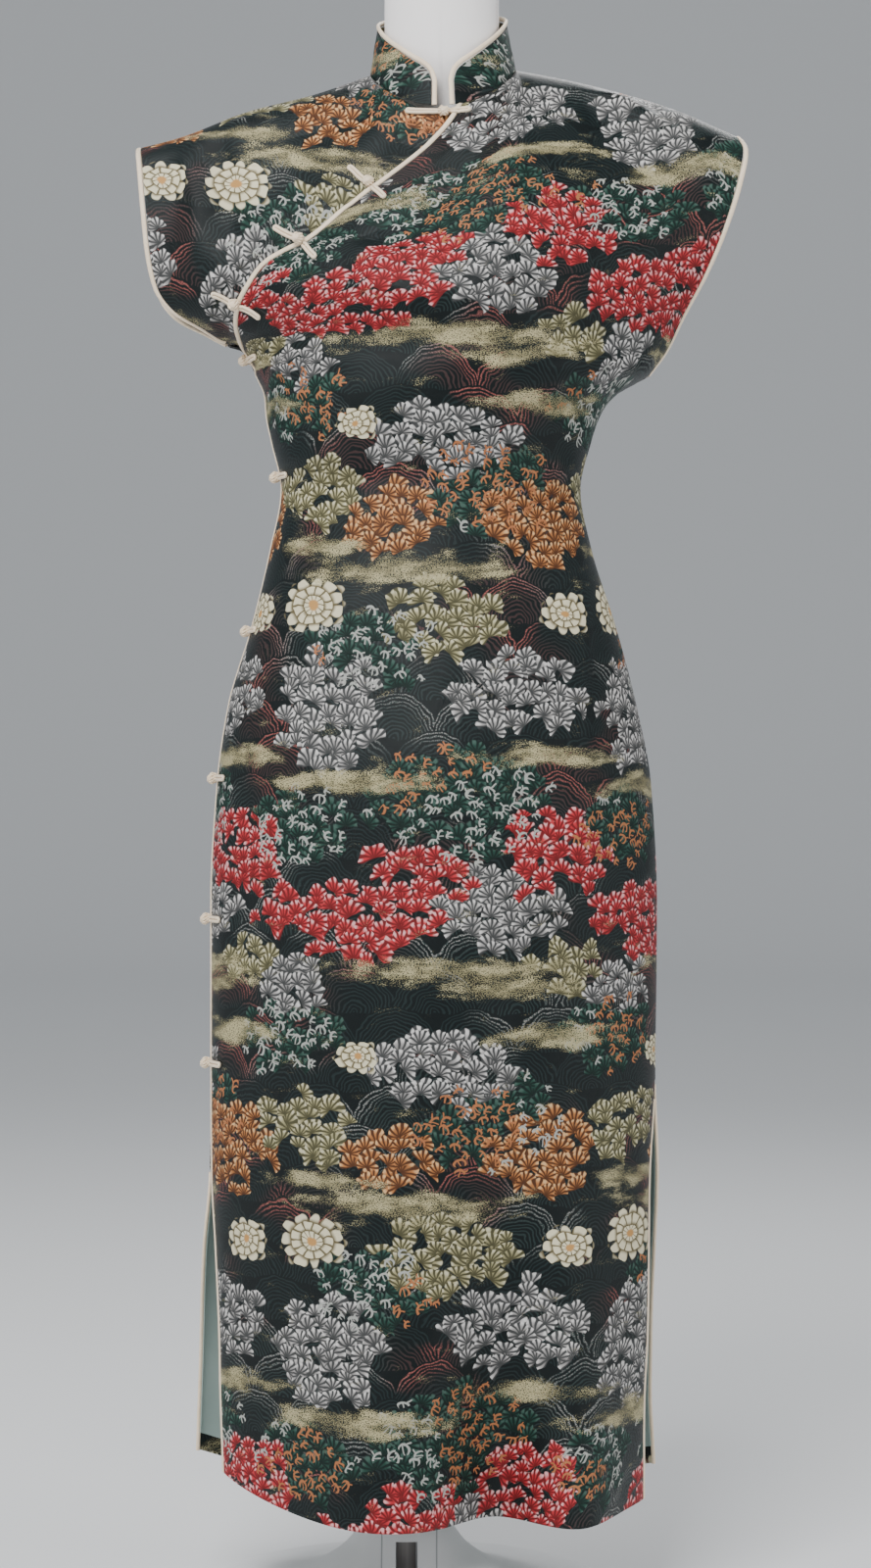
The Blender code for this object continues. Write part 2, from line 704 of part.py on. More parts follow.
def build_stand(white, steel):
    """A heavy trumpet foot with a blind bore; the pole stands in it."""
    around = 28
    bore = [(0.0130, FLOOR_Z + 0.005), (0.0130, 0.3350)]
    profile = bore + BASE_PROFILE
    verts, faces = [], []
    for r, z in profile:
        for i in range(around):
            turn = 2 * math.pi * i / around
            verts.append((r * math.sin(turn) - DRESS_X, -r * math.cos(turn), z))
    for k in range(len(profile) - 1):
        for i in range(around):
            n = (i + 1) % around
            low, high = k * around, (k + 1) * around
            faces.append((low + i, low + n, high + n, high + i))
    faces.append(tuple(range(around)))
    faces.append(tuple(len(verts) - 1 - i for i in range(around)))
    add_object("stand_base", verts, faces, white)
    frames = []
    for z in (FLOOR_Z + 0.0055, 0.6895):
        frames.append((Vector((-DRESS_X, 0.0, z)), Vector((1, 0, 0)), Vector((0, 1, 0))))
    radius = 0.0125
    turns = [2 * math.pi * i / 16 for i in range(16)]
    section = [(radius * math.cos(t), radius * math.sin(t)) for t in turns]
    swept("stand_pole", frames, section, steel)


def locate(x, z):
    """The u and level of the front surface that is seen at x, z."""
    best = (9.0, 0.5, 1.5)
    step_u, step_l = 0.04, 0.05
    spots = [(i * step_u, 1.0 + j * step_l) for i in range(26) for j in range(21)]
    for u, level in spots:
        p = dress_point("front", min(1.0, u), min(2.0, level))
        far = math.hypot(p.x - x, p.z - z)
        if far < best[0]:
            best = (far, u, level)
    while step_u > 0.0004:
        moves = [(a, b) for a in (-1, 0, 1) for b in (-1, 0, 1)]
        found = best
        for a, b in moves:
            u = min(1.0, max(0.0, best[1] + a * step_u))
            level = min(2.0, max(1.0, best[2] + b * step_l))
            p = dress_point("front", u, level)
            far = math.hypot(p.x - x, p.z - z)
            if far < found[0]:
                found = (far, u, level)
        if found is best:
            step_u, step_l = step_u / 2, step_l / 2
        best = found
    return best[1], best[2]


FROG_SECTION = [
    (0.0031, 0.0), (0.0020, 0.0013), (-0.0020, 0.0013),
    (-0.0031, 0.0), (-0.0020, -0.0013), (0.0020, -0.0013),
]
KNOT_RINGS = [(0.0, 0.45), (0.0026, 0.95), (0.0062, 0.95), (0.0095, 0.35)]


def seat(point, normal, reach):
    """The cloth's highest place under a small round patch, along the normal."""
    side = normal.orthogonal().normalized()
    across = normal.cross(side)
    best = -1.0
    for k in range(9):
        turn = k * math.pi / 4
        size = reach if k < 8 else 0.0
        start = point + side * math.cos(turn) * size + across * math.sin(turn) * size
        start = start + normal * 0.02
        for tree in CLOTH_TREES:
            hit = tree.ray_cast(start, -normal, 0.05)
            if hit[0] is not None:
                best = max(best, (hit[0] - point).dot(normal))
    return point + normal * max(best, -0.01)


def knot(name, middle, way, normal, mat):
    """A round knotted button; way is its axis along the frog."""
    radius = 0.0052
    rings = []
    for far, size in KNOT_RINGS:
        rings.append((middle + way * (far - 0.00475), size))
    turns = [2 * math.pi * i / 8 for i in range(8)]
    section = [(radius * math.cos(t), radius * math.sin(t)) for t in turns]
    side = way.cross(normal).normalized()
    frames = [(p, side, normal, size) for p, size in rings]
    swept(name, frames, section, mat)


def leg(name, points, normals, mat):
    frames = []
    for i, p in enumerate(points):
        before = points[max(0, i - 1)]
        after = points[min(len(points) - 1, i + 1)]
        run = (after - before).normalized()
        normal = (normals[i] - run * normals[i].dot(run)).normalized()
        frames.append((p, run.cross(normal).normalized(), normal))
    swept(name, frames, FROG_SECTION, mat)


def build_front_frogs(mat):
    lift = 0.0013 + 0.0004
    for frog in FRONT_FROGS:
        middle = locate(frog.xk, frog.zk)
        centre = dress_point("front", *middle)
        normal = surface_normal("front", *middle)
        ends = []
        for x, z in ((frog.x0, frog.z0), (frog.x1, frog.z1)):
            ends.append(locate(x, z))
        top = seat(centre, normal, 0.0048) + normal * (0.0052 + 0.0004)
        far_point = dress_point("front", *ends[0])
        way = far_point - centre
        way = (way - normal * way.dot(normal)).normalized()
        knot(f"frog_{frog.name}_knot", top, way, normal, mat)
        for tag, end in (("loop", ends[0]), ("leg", ends[1])):
            points, normals = [], []
            for t in (0.0, 0.33, 0.66, 1.0):
                start = 0.0049
                whole = (dress_point("front", *end) - centre).length
                t = start / whole + (1 - start / whole) * t
                u = middle[0] + (end[0] - middle[0]) * t
                level = middle[1] + (end[1] - middle[1]) * t
                n = surface_normal("front", u, level)
                points.append(seat(dress_point("front", u, level), n, 0.0033) + n * lift)
                normals.append(n)
            leg(f"frog_{frog.name}_{tag}", points, normals, mat)


def faceted_point(side, u, level):
    """The point on the cloth's flat facets between two of its rows."""
    rows = LOWER_LEVELS + UPPER_LEVELS
    low = max(row for row in rows if row <= level)
    high = min(row for row in rows if row >= level)
    if high - low < 1e-9:
        return dress_point(side, u, level)
    a, b = dress_point(side, u, low), dress_point(side, u, high)
    return a + (b - a) * ((level - low) / (high - low))


def side_level(side, z):
    hem = hem_height(side, 0.0)
    if z <= TOP_Z:
        return (z - hem) / (TOP_Z - hem)
    low, high = 1.0, 1.4
    for _ in range(30):
        half = (low + high) / 2
        if upper_point(side, 0.0, half - 1.0)[2] < z:
            low = half
        else:
            high = half
    return low


def build_side_frogs(mat):
    lift = 0.0013 + 0.0004
    for name, z in SIDE_FROGS:
        level = side_level("front", z)
        edge = faceted_point("front", 0.0, level)
        normal = Vector((-1.0, 0.0, 0.0))
        middle = seat(Vector((edge.x, 0.0, z)), normal, 0.003) + normal * 0.0053
        knot(f"frog_{name}_knot", middle, Vector((0.0, 1.0, 0.0)), normal, mat)
        for side in ("front", "back"):
            sign = -1.0 if side == "front" else 1.0
            wanted = 0.0050
            points, normals = [], []
            u = 0.0
            place = side_level(side, z)
            last = faceted_point(side, 0.0, place)
            run = 0.0
            while len(points) < 4:
                u += 0.001
                p = faceted_point(side, u, place)
                run += (p - last).length
                last = p
                if run >= wanted:
                    n = surface_normal(side, u, place)
                    points.append(seat(p, n, 0.0033) + n * lift)
                    normals.append(n)
                    wanted += 0.0066
            leg(f"frog_{name}_{side}", points, normals, mat)


PARTS = start_clean()
silk = material("brocade", (0.035, 0.05, 0.055), 0.45)
lining = material("lining", (0.42, 0.5, 0.47), 0.5)
bind = material("binding", (0.9, 0.82, 0.66), 0.45)
jersey = material("form_cover", (0.86, 0.83, 0.8), 0.85)
white = material("base_white", (0.9, 0.9, 0.9), 0.4)
steel = material("pole_steel", (0.55, 0.56, 0.58), 0.35, 1.0)

right_front_cuff = build_front(silk, bind)
left_front_cuff = build_underlap(silk)
back_cuffs = build_back(silk, bind)
build_cuff("binding_cuff_left", left_front_cuff, back_cuffs[0], bind)
build_cuff("binding_cuff_right", right_front_cuff, back_cuffs[1], bind)
build_lining(lining)
build_collar(silk, bind)
build_form(jersey)
build_stand(white, steel)
build_front_frogs(bind)
build_side_frogs(bind)
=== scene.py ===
import math
from collections import namedtuple

import bmesh
import bpy
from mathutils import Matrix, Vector, noise
from mathutils.bvhtree import BVHTree


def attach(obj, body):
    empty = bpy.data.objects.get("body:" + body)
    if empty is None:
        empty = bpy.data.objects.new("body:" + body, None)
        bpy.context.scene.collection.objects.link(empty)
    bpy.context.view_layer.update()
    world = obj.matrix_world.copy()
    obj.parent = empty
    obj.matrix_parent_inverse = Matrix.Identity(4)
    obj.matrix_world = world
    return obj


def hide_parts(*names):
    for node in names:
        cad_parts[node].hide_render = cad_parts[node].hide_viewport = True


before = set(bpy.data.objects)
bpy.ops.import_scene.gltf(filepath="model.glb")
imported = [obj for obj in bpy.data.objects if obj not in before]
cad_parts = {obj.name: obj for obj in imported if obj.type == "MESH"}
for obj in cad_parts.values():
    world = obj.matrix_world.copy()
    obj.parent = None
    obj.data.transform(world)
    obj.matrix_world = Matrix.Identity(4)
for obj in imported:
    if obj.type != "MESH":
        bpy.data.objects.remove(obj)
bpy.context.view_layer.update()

# The view is level with the hips and straight in front of the dress, far
# enough off that the shoulders and the hem are seen almost square on.
DRESS_X = 0.0234
FLOOR_Z = 0.205
CAMERA_OFF = 2.6
CAMERA_Z = 0.655
bpy.ops.object.select_all(action="DESELECT")
bpy.ops.object.camera_add(location=(DRESS_X, -CAMERA_OFF, CAMERA_Z), rotation=(math.pi / 2, 0.0, 0.0))
camera = bpy.context.object
camera.data.sensor_width = 36.0
camera.data.lens = 75.0
camera.data.clip_end = 60.0
bpy.context.scene.camera = camera

# The room is a pale floor that sweeps up behind into a pale wall, with one
# broad soft light high in front, a fill at each side and a weak one behind.
FLOOR_WIDE = 24.0
FLOOR_MIDDLE_Y = -1.0
WALL_HIGH = 9.0
bpy.ops.object.select_all(action="DESELECT")
bpy.ops.mesh.primitive_plane_add(size=FLOOR_WIDE, location=(0.0, FLOOR_MIDDLE_Y, 0.0))
floor = bpy.context.object
floor.name = "room_floor"
bpy.ops.object.transform_apply(location=True, rotation=True, scale=True)
bpy.ops.object.mode_set(mode="EDIT")
shape = bmesh.from_edit_mesh(floor.data)
for part in (*shape.faces, *shape.edges, *shape.verts):
    part.select_set(False)
for edge in shape.edges:
    edge.select_set(all(v.co.y > FLOOR_WIDE / 2 + FLOOR_MIDDLE_Y - 0.1 for v in edge.verts))
bmesh.update_edit_mesh(floor.data)
bpy.ops.mesh.extrude_region_move(TRANSFORM_OT_translate={"value": (0.0, 0.0, WALL_HIGH)})
bpy.ops.object.mode_set(mode="OBJECT")
bend = floor.modifiers.new("bend", "BEVEL")
bend.width = 2.5
bend.segments = 10
bpy.ops.object.modifier_apply(modifier="bend")
bpy.ops.object.shade_smooth()
floor_paint = bpy.data.materials.new("room_floor_paint")
floor_paint.use_nodes = True
paint = floor_paint.node_tree.nodes["Principled BSDF"].inputs
paint["Base Color"].default_value = (0.80, 0.81, 0.82, 1.0)
paint["Roughness"].default_value = 0.9
floor.data.materials.append(floor_paint)

LampRow = namedtuple("LampRow", "name x y z wide high watts")
LAMPS = [LampRow(*row) for row in (
    ("lamp_key", -0.8, -2.3, 3.0, 1.5, 1.1, 125.0),
    ("lamp_fill_left", -2.4, -1.0, 1.3, 1.2, 1.9, 15.0),
    ("lamp_fill_right", 2.4, -1.3, 1.4, 1.2, 1.9, 24.0),
    ("lamp_back", 0.6, 1.9, 2.6, 1.5, 1.0, 24.0),
)]
AIM_Z = 0.90
for row in LAMPS:
    lamp = bpy.data.lights.new(row.name, "AREA")
    lamp.shape = "RECTANGLE"
    lamp.size = row.wide
    lamp.size_y = row.high
    lamp.energy = row.watts
    holder = bpy.data.objects.new(row.name, lamp)
    holder.location = (row.x, row.y, row.z)
    aim = Vector((0.0, 0.0, AIM_Z)) - Vector(holder.location)
    holder.rotation_euler = aim.to_track_quat("-Z", "Y").to_euler()
    bpy.context.scene.collection.objects.link(holder)
world = bpy.data.worlds.new("pale_room")
bpy.context.scene.world = world
world.use_nodes = True
air = world.node_tree.nodes["Background"].inputs
air["Color"].default_value = (0.84, 0.87, 0.9, 1.0)
air["Strength"].default_value = 0.5

# Front panel: the main front in figured satin, cut in one with the wearer's
# left cap sleeve, shaped by long darts, and lapped over to the wearer's right
# along a slanted edge that runs on down the side to the hem.
SEAM = 0.0003
WALL = 0.0015
BIND_WIDE = 0.0042
TOP_Z = 1.1845
LEFT_SLIT_Z = 0.5496
RIGHT_SLIT_Z = 0.619
NECK_X = 0.006
NECK_Y = 0.0075
NECK_HALF_X = 0.058
NECK_HALF_Y = 0.0625
NECK_Z = 1.4215
NECK_TILT = 0.0336
NECK_U = 0.14
SEAM_ANGLE = math.acos(NECK_Y / NECK_HALF_Y)
Ring = namedtuple("Ring", "z front_left front_right back_left back_right front back")
RINGS = [Ring(*row) for row in (
    (0.280, -0.1668, 0.1650, -0.1932, 0.1772, 0.105, 0.097),
    (0.313, -0.1677, 0.1650, -0.1925, 0.1763, 0.105, 0.097),
    (0.374, -0.1700, 0.1652, -0.1905, 0.1735, 0.104, 0.098),
    (0.430, -0.1712, 0.1675, -0.1885, 0.1742, 0.103, 0.100),
    (0.490, -0.1745, 0.1680, -0.1855, 0.1763, 0.102, 0.102),
    (0.549, -0.1780, 0.1700, -0.1800, 0.1778, 0.102, 0.104),
    (0.626, -0.1786, 0.1747, -0.1786, 0.1750, 0.104, 0.108),
    (0.766, -0.1786, 0.1763, -0.1786, 0.1763, 0.108, 0.115),
    (0.860, -0.1735, 0.1716, -0.1735, 0.1716, 0.108, 0.118),
    (0.922, -0.1646, 0.1600, -0.1646, 0.1600, 0.104, 0.111),
    (0.985, -0.1459, 0.1435, -0.1459, 0.1435, 0.098, 0.098),
    (1.047, -0.1310, 0.1240, -0.1310, 0.1240, 0.090, 0.080),
    (1.094, -0.1225, 0.1154, -0.1225, 0.1154, 0.086, 0.072),
    (1.132, -0.1303, 0.1240, -0.1303, 0.1240, 0.096, 0.080),
    (1.1525, -0.1345, 0.1310, -0.1345, 0.1310, 0.101, 0.084),
    (1.168, -0.1357, 0.1420, -0.1357, 0.1420, 0.104, 0.086),
    (1.1845, -0.1427, 0.1700, -0.1427, 0.1700, 0.106, 0.088),
)]
Fold = namedtuple("Fold", "side x_hem x_top z_top wide out")
FOLDS = [
    Fold("front", -0.055, -0.050, 0.62, 0.055, 0.018),
    Fold("front", 0.043, 0.048, 0.60, 0.034, -0.045),
    Fold("front", 0.118, 0.112, 0.62, 0.034, 0.040),
    Fold("back", -0.105, -0.095, 0.66, 0.040, 0.018),
    Fold("back", -0.030, -0.030, 0.62, 0.036, -0.022),
    Fold("back", 0.050, 0.045, 0.66, 0.042, 0.020),
    Fold("back", 0.125, 0.115, 0.58, 0.030, -0.010),
]
LEFT_CUFF = [
    (-0.1427, 1.1845), (-0.1537, 1.2040), (-0.1669, 1.2087), (-0.1856, 1.2188),
    (-0.2090, 1.2320), (-0.2223, 1.2492), (-0.2285, 1.2765), (-0.2317, 1.3093),
    (-0.2348, 1.3413), (-0.2379, 1.3647),
]
RIGHT_CUFF = [
    (0.1700, 1.1845), (0.1849, 1.2040), (0.1973, 1.2289), (0.2153, 1.2617),
    (0.2293, 1.2937), (0.2418, 1.3335), (0.2465, 1.3590), (0.2418, 1.3735),
]
LEFT_SHOULDER = [
    (-0.2379, 1.3647), (-0.2028, 1.3740), (-0.1498, 1.3943), (-0.0959, 1.4083),
]
RIGHT_SHOULDER = [(0.1131, 1.4177), (0.1833, 1.3982), (0.2418, 1.3735)]
OVERLAP_EDGE = [
    (1.1800, -0.1427), (1.1845, -0.1427), (1.2040, -0.1530), (1.2180, -0.1575),
    (1.2300, -0.1555), (1.2448, -0.1475), (1.2601, -0.1356),
    (1.2676, -0.1222), (1.2738, -0.1057), (1.2779, -0.0988), (1.3171, -0.0536),
    (1.3231, -0.0453), (1.3767, 0.0107), (1.4000, 0.0220),
]
Crease = namedtuple("Crease", "side x0 z0 x1 z1 wide out")
FRONT_CREASES = [
    (0.126, 1.413, 0.218, 1.3475, 0.008, 0.0042),
    (0.112, 1.398, 0.196, 1.322, 0.013, -0.0032),
    (0.168, 1.215, 0.108, 1.262, 0.010, 0.0036),
    (0.150, 1.196, 0.088, 1.214, 0.009, -0.0030),
    (0.132, 1.172, 0.070, 1.182, 0.008, 0.0024),
    (0.200, 1.300, 0.150, 1.275, 0.012, 0.0028),
    (-0.196, 1.352, -0.176, 1.262, 0.013, 0.0034),
    (-0.168, 1.366, -0.158, 1.282, 0.010, -0.0026),
    (-0.130, 1.186, -0.078, 1.200, 0.009, 0.0026),
    (-0.128, 1.150, -0.080, 1.140, 0.009, -0.0022),
    (-0.118, 1.118, -0.052, 1.106, 0.007, 0.0020),
    (-0.116, 1.098, -0.060, 1.082, 0.006, -0.0018),
    (0.112, 1.108, 0.052, 1.096, 0.007, 0.0020),
    (0.110, 1.086, 0.064, 1.072, 0.006, -0.0017),
    (0.113, 0.985, 0.111, 0.800, 0.009, 0.0026),
    (-0.098, 0.970, -0.100, 0.820, 0.010, 0.0020),
    (-0.150, 0.900, -0.152, 0.640, 0.010, -0.0018),
    (0.060, 0.800, 0.066, 0.560, 0.020, -0.0022),
    (-0.020, 0.700, -0.024, 0.460, 0.024, 0.0024),
]
BACK_CREASES = [
    (-0.120, 1.180, -0.050, 1.205, 0.010, 0.0030),
    (0.140, 1.190, 0.060, 1.214, 0.010, 0.0032),
    (-0.112, 1.112, -0.030, 1.100, 0.008, 0.0030),
    (-0.108, 1.092, -0.020, 1.078, 0.007, -0.0024),
    (0.106, 1.110, 0.030, 1.098, 0.008, 0.0028),
    (0.104, 1.086, 0.026, 1.070, 0.007, -0.0024),
    (0.098, 1.060, 0.010, 1.046, 0.007, 0.0020),
    (-0.185, 1.352, -0.150, 1.270, 0.013, 0.0034),
    (0.190, 1.356, 0.150, 1.270, 0.013, 0.0036),
    (-0.060, 0.800, -0.066, 0.520, 0.020, -0.0030),
    (0.080, 0.840, 0.086, 0.560, 0.018, 0.0026),
]
CREASES = [Crease("front", *row) for row in FRONT_CREASES]
CREASES += [Crease("back", *row) for row in BACK_CREASES]
CREASE_DEPTH = 1.5
Dart = namedtuple("Dart", "side x_top z_top x_waist x_low z_low")
WAIST_Z = 1.0
DART_HALF_WIDE = 0.0032
DARTS = [
    Dart("front", 0.092, 1.060, 0.094, 0.100, 0.800),
    Dart("front", -0.088, 1.060, -0.088, -0.092, 0.800),
    Dart("back", 0.072, 1.200, 0.068, 0.080, 0.930),
    Dart("back", -0.074, 1.200, -0.070, -0.082, 0.930),
]


def through(keys, values, at):
    """A smooth curve through a table's points."""
    if at <= keys[0]:
        return values[0]
    if at >= keys[-1]:
        return values[-1]
    spot = 0
    while keys[spot + 1] < at:
        spot += 1
    span = keys[spot + 1] - keys[spot]
    step = (values[spot + 1] - values[spot]) / span
    ends = []
    for i in (spot, spot + 1):
        if i <= 0 or i >= len(keys) - 1:
            ends.append(step)
            continue
        before = (values[i] - values[i - 1]) / (keys[i] - keys[i - 1])
        after = (values[i + 1] - values[i]) / (keys[i + 1] - keys[i])
        ends.append(0.0 if before * after <= 0.0 else 2.0 * before * after / (before + after))
    t = (at - keys[spot]) / span
    bent = (2 * t ** 3 - 3 * t ** 2 + 1) * values[spot]
    bent += (t ** 3 - 2 * t ** 2 + t) * span * ends[0]
    bent += (-2 * t ** 3 + 3 * t ** 2) * values[spot + 1]
    return bent + (t ** 3 - t ** 2) * span * ends[1]


RING_AT = {name: [getattr(row, name) for row in RINGS] for name in Ring._fields}


def ease(t):
    t = min(1.0, max(0.0, t))
    return t * t * (3.0 - 2.0 * t)


def along(line, t):
    keys = [0.0]
    for a, b in zip(line, line[1:]):
        keys.append(keys[-1] + math.dist(a, b))
    return tuple(through(keys, [p[i] for p in line], t * keys[-1]) for i in range(2))


def neck_point(angle):
    x = NECK_X + NECK_HALF_X * math.sin(angle)
    y = NECK_Y - NECK_HALF_Y * math.cos(angle)
    z = NECK_Z - 0.026 * math.cos(angle) - 0.00725 * math.cos(2 * angle)
    return x, y, z + NECK_TILT * (x - NECK_X)


def top_line(side, u):
    if abs(u - 0.5) <= NECK_U:
        turn = (u - 0.5) / NECK_U
        angle = turn * SEAM_ANGLE
        if side == "back":
            angle = math.pi - turn * (math.pi - SEAM_ANGLE)
        x, y, z = neck_point(angle)
        return x, z, abs(y)
    end = 0.5 - NECK_U
    if u < 0.5:
        x, _, z = neck_point(-SEAM_ANGLE)
        return (*along(LEFT_SHOULDER + [(x, z)], u / end), 0.0)
    x, _, z = neck_point(SEAM_ANGLE)
    return (*along([(x, z)] + RIGHT_SHOULDER, (u - 1.0 + end) / end), 0.0)


def skirt_fold(side, x, z):
    total = 0.0
    for fold in FOLDS:
        if fold.side != side or z >= fold.z_top:
            continue
        fade = (fold.z_top - z) / (fold.z_top - 0.29)
        middle = fold.x_top + (fold.x_hem - fold.x_top) * fade
        total += fold.out * math.exp(-(((x - middle) / fold.wide) ** 2)) * min(1.0, fade) ** 1.6
    return total


def small_form(side, x, z):
    """Creases, darts and the slight unevenness of hanging cloth."""
    total = 0.0
    for row in CREASES:
        if row.side != side:
            continue
        dx, dz = row.x1 - row.x0, row.z1 - row.z0
        length = math.hypot(dx, dz)
        t = ((x - row.x0) * dx + (z - row.z0) * dz) / (length * length)
        if t < -0.25 or t > 1.25:
            continue
        off = ((x - row.x0) * dz - (z - row.z0) * dx) / length
        off += 0.006 * noise.noise(Vector((t * 2.1 + row.x0 * 40.0, row.z0 * 30.0, 0.0)))
        wide = row.wide * (0.75 + 0.6 * ease(t))
        if abs(off) > 3.2 * wide:
            continue
        fade = ease((t + 0.2) / 0.45) * ease((1.2 - t) / 0.6)
        uneven = 1.0 + 0.35 * noise.noise(Vector((t * 3.0, row.x0 * 70.0, row.z0 * 50.0)))
        total += CREASE_DEPTH * row.out * fade * uneven * math.exp(-((off / wide) ** 2))
    for row in DARTS:
        if row.side != side or z > row.z_top + 0.01 or z < row.z_low - 0.01:
            continue
        x_end, z_end = (row.x_top, row.z_top) if z > WAIST_Z else (row.x_low, row.z_low)
        middle = row.x_waist + (x_end - row.x_waist) * (z - WAIST_Z) / (z_end - WAIST_Z)
        reach = ease((row.z_top - z) / 0.05) * ease((z - row.z_low) / 0.05)
        off = (x - middle) / DART_HALF_WIDE
        total -= 0.0011 * reach * math.exp(-off * off)
        beside = (abs(x - middle) - 0.008) / 0.006
        total += 0.0006 * reach * math.exp(-beside * beside)
    spot = Vector((x * 9.0, z * 6.0, 3.0 if side == "front" else 8.0))
    return total + 0.0007 * noise.noise(spot) + 0.0003 * noise.noise(spot * 3.1)


def hem_height(side, u):
    s = math.sin(math.pi * (u - 0.5))
    if side == "front":
        return 0.2895 + (0.028 if s < 0 else 0.007) * abs(s) ** 3
    return 0.2920 + (0.033 if s < 0 else 0.022) * abs(s) ** 3


def lower_point(side, u, t):
    hem = hem_height(side, u)
    z = hem + (TOP_Z - hem) * t
    left = through(RING_AT["z"], RING_AT[side + "_left"], z)
    right = through(RING_AT["z"], RING_AT[side + "_right"], z)
    deep = through(RING_AT["z"], RING_AT[side], z)
    turn = math.pi * (u - 0.5)
    x = (left + right) / 2 + (right - left) / 2 * math.sin(turn)
    top = LEFT_SLIT_Z if turn < 0 else RIGHT_SLIT_Z
    apart = (0.020 if side == "front" else 0.026) * ease((top - z) / 0.16)
    apart *= abs(math.sin(turn)) ** 3
    power = 1.0 + 0.3 * ease((1.0 - z) / 0.3)
    y = (deep - apart) * max(0.0, math.cos(turn)) ** power + apart
    y += skirt_fold(side, x, z) * (1.0 - abs(math.sin(turn)) ** 8)
    return x, y, z


def upper_point(side, u, v):
    base = lower_point(side, u, 1.0)
    top = top_line(side, u)
    corner = [lower_point(side, 0.0, 1.0), lower_point(side, 1.0, 1.0)]
    crown = [LEFT_SHOULDER[0], RIGHT_SHOULDER[-1]]
    edge = [along(LEFT_CUFF, v), along(RIGHT_CUFF, v)]
    out = []
    for axis, low in ((0, 0), (1, 2)):
        value = (1 - v) * base[low] + v * top[axis]
        value += (1 - u) * edge[0][axis] + u * edge[1][axis]
        value -= (1 - v) * ((1 - u) * corner[0][low] + u * corner[1][low])
        value -= v * ((1 - u) * crown[0][axis] + u * crown[1][axis])
        out.append(value)
    middle = max(0.0, math.cos(math.pi * (u - 0.5)))
    round_top = math.sqrt(max(0.0, 1.0 - v ** 4))
    shoulder = 0.055 * ease(v / 0.3) - 0.004 * middle + 0.42 * top[2]
    deep = ((1 - v) * base[1] + v * shoulder) * round_top
    deep += top[2] * (1.0 - round_top)
    swell = math.sin(math.pi * min(1.0, v / 0.85))
    if side == "front":
        cups = math.exp(-((abs(u - 0.5) - 0.15) / 0.11) ** 2)
        deep += swell * middle * (0.021 + 0.010 * cups)
    else:
        deep += swell * middle * 0.018
    return out[0], deep, out[1]


def dress_point(side, u, level):
    """level 0 to 1 is hem to armhole, 1 to 2 is armhole to the top edge."""
    x, y, z = lower_point(side, u, level) if level <= 1.0 else upper_point(side, u, level - 1.0)
    y = max(y, 0.0) + SEAM / 2
    return Vector((x + DRESS_X, -y if side == "front" else y, z - FLOOR_Z))


def overlap_u(v):
    """Where the slanted edge crosses the row v above the armhole."""
    keys = [row[0] for row in OVERLAP_EDGE]
    values = [row[1] for row in OVERLAP_EDGE]
    low, high = 0.0, 0.62
    x, _, z = upper_point("front", 0.0, v)
    if x >= through(keys, values, z):
        return 0.0
    for _ in range(22):
        half = (low + high) / 2
        x, _, z = upper_point("front", half, v)
        if x < through(keys, values, z):
            low = half
        else:
            high = half
    return (low + high) / 2


def columns(start, end, corner, count, before, blend):
    """Column places from start to end, with one on the neck corner at the top."""
    places = []
    for i in range(count + 1):
        even = start + (end - start) * i / count
        if i <= before:
            split = start + (corner - start) * i / before
        else:
            split = corner + (end - corner) * (i - before) / (count - before)
        places.append(even + (split - even) * blend)
    return places


def hang(side, levels, places_at, drop_at=None, thick=WALL):
    """The outer and inner faces of one cut piece as it hangs, creases and all."""
    bare, places = [], []
    for level in levels:
        places.append(places_at(level))
        bare.append([dress_point(side, u, level) for u in places[-1]])
    rows, cols = len(bare), len(bare[0])
    sign = -1.0 if side == "front" else 1.0
    outer, inner = [], []
    for r in range(rows):
        out_row, in_row = [], []
        for c in range(cols):
            across = bare[r][min(cols - 1, c + 1)] - bare[r][max(0, c - 1)]
            up = bare[min(rows - 1, r + 1)][c] - bare[max(0, r - 1)][c]
            way = across.cross(up) * -sign
            u, level, p = places[r][c], levels[r], bare[r][c]
            if level > 1.999 and abs(u - 0.5) >= NECK_U - 1e-6:
                way = Vector((way.x * 0.3 / max(way.length, 1e-9), 0.0, 1.0))
            if (u < 1e-6 or u > 1.0 - 1e-6) and level <= 1.0 and abs(p.y) < 0.0004:
                way = Vector((math.copysign(1.0, u - 0.5), 0.0, 0.0))
            way = way.normalized()
            rise = small_form(side, p.x - DRESS_X, p.z + FLOOR_Z) * ease(abs(p.y) / 0.022)
            rise *= ease((2.0 - level) / 0.06) if level > 1.9 else 1.0
            drop = drop_at(u, level) if drop_at else 0.0
            a = p + way * (rise - drop)
            b = a - way * thick
            for q in (a, b):
                if q.y * sign < SEAM / 2:
                    q.y = SEAM / 2 * sign
            out_row.append(a)
            in_row.append(b)
        outer.append(out_row)
        inner.append(in_row)
    return outer, inner


def draw_in(faces, rows, right, far=BIND_WIDE + SEAM, over=0.03):
    """Draw a bound edge in by the width that its binding takes up."""
    for grid in faces:
        for r in rows:
            row = grid[r][::-1] if right else grid[r][:]
            runs = [0.0]
            for a, b in zip(row, row[1:]):
                runs.append(runs[-1] + (b - a).length)
            moved = []
            for k, run in enumerate(runs):
                if run >= over:
                    moved.append(row[k])
                    continue
                want = far + run * (over - far) / over
                n = 0
                while n < len(runs) - 2 and runs[n + 1] < want:
                    n += 1
                moved.append(row[n].lerp(row[n + 1], (want - runs[n]) / max(1e-9, runs[n + 1] - runs[n])))
            grid[r] = moved[::-1] if right else moved


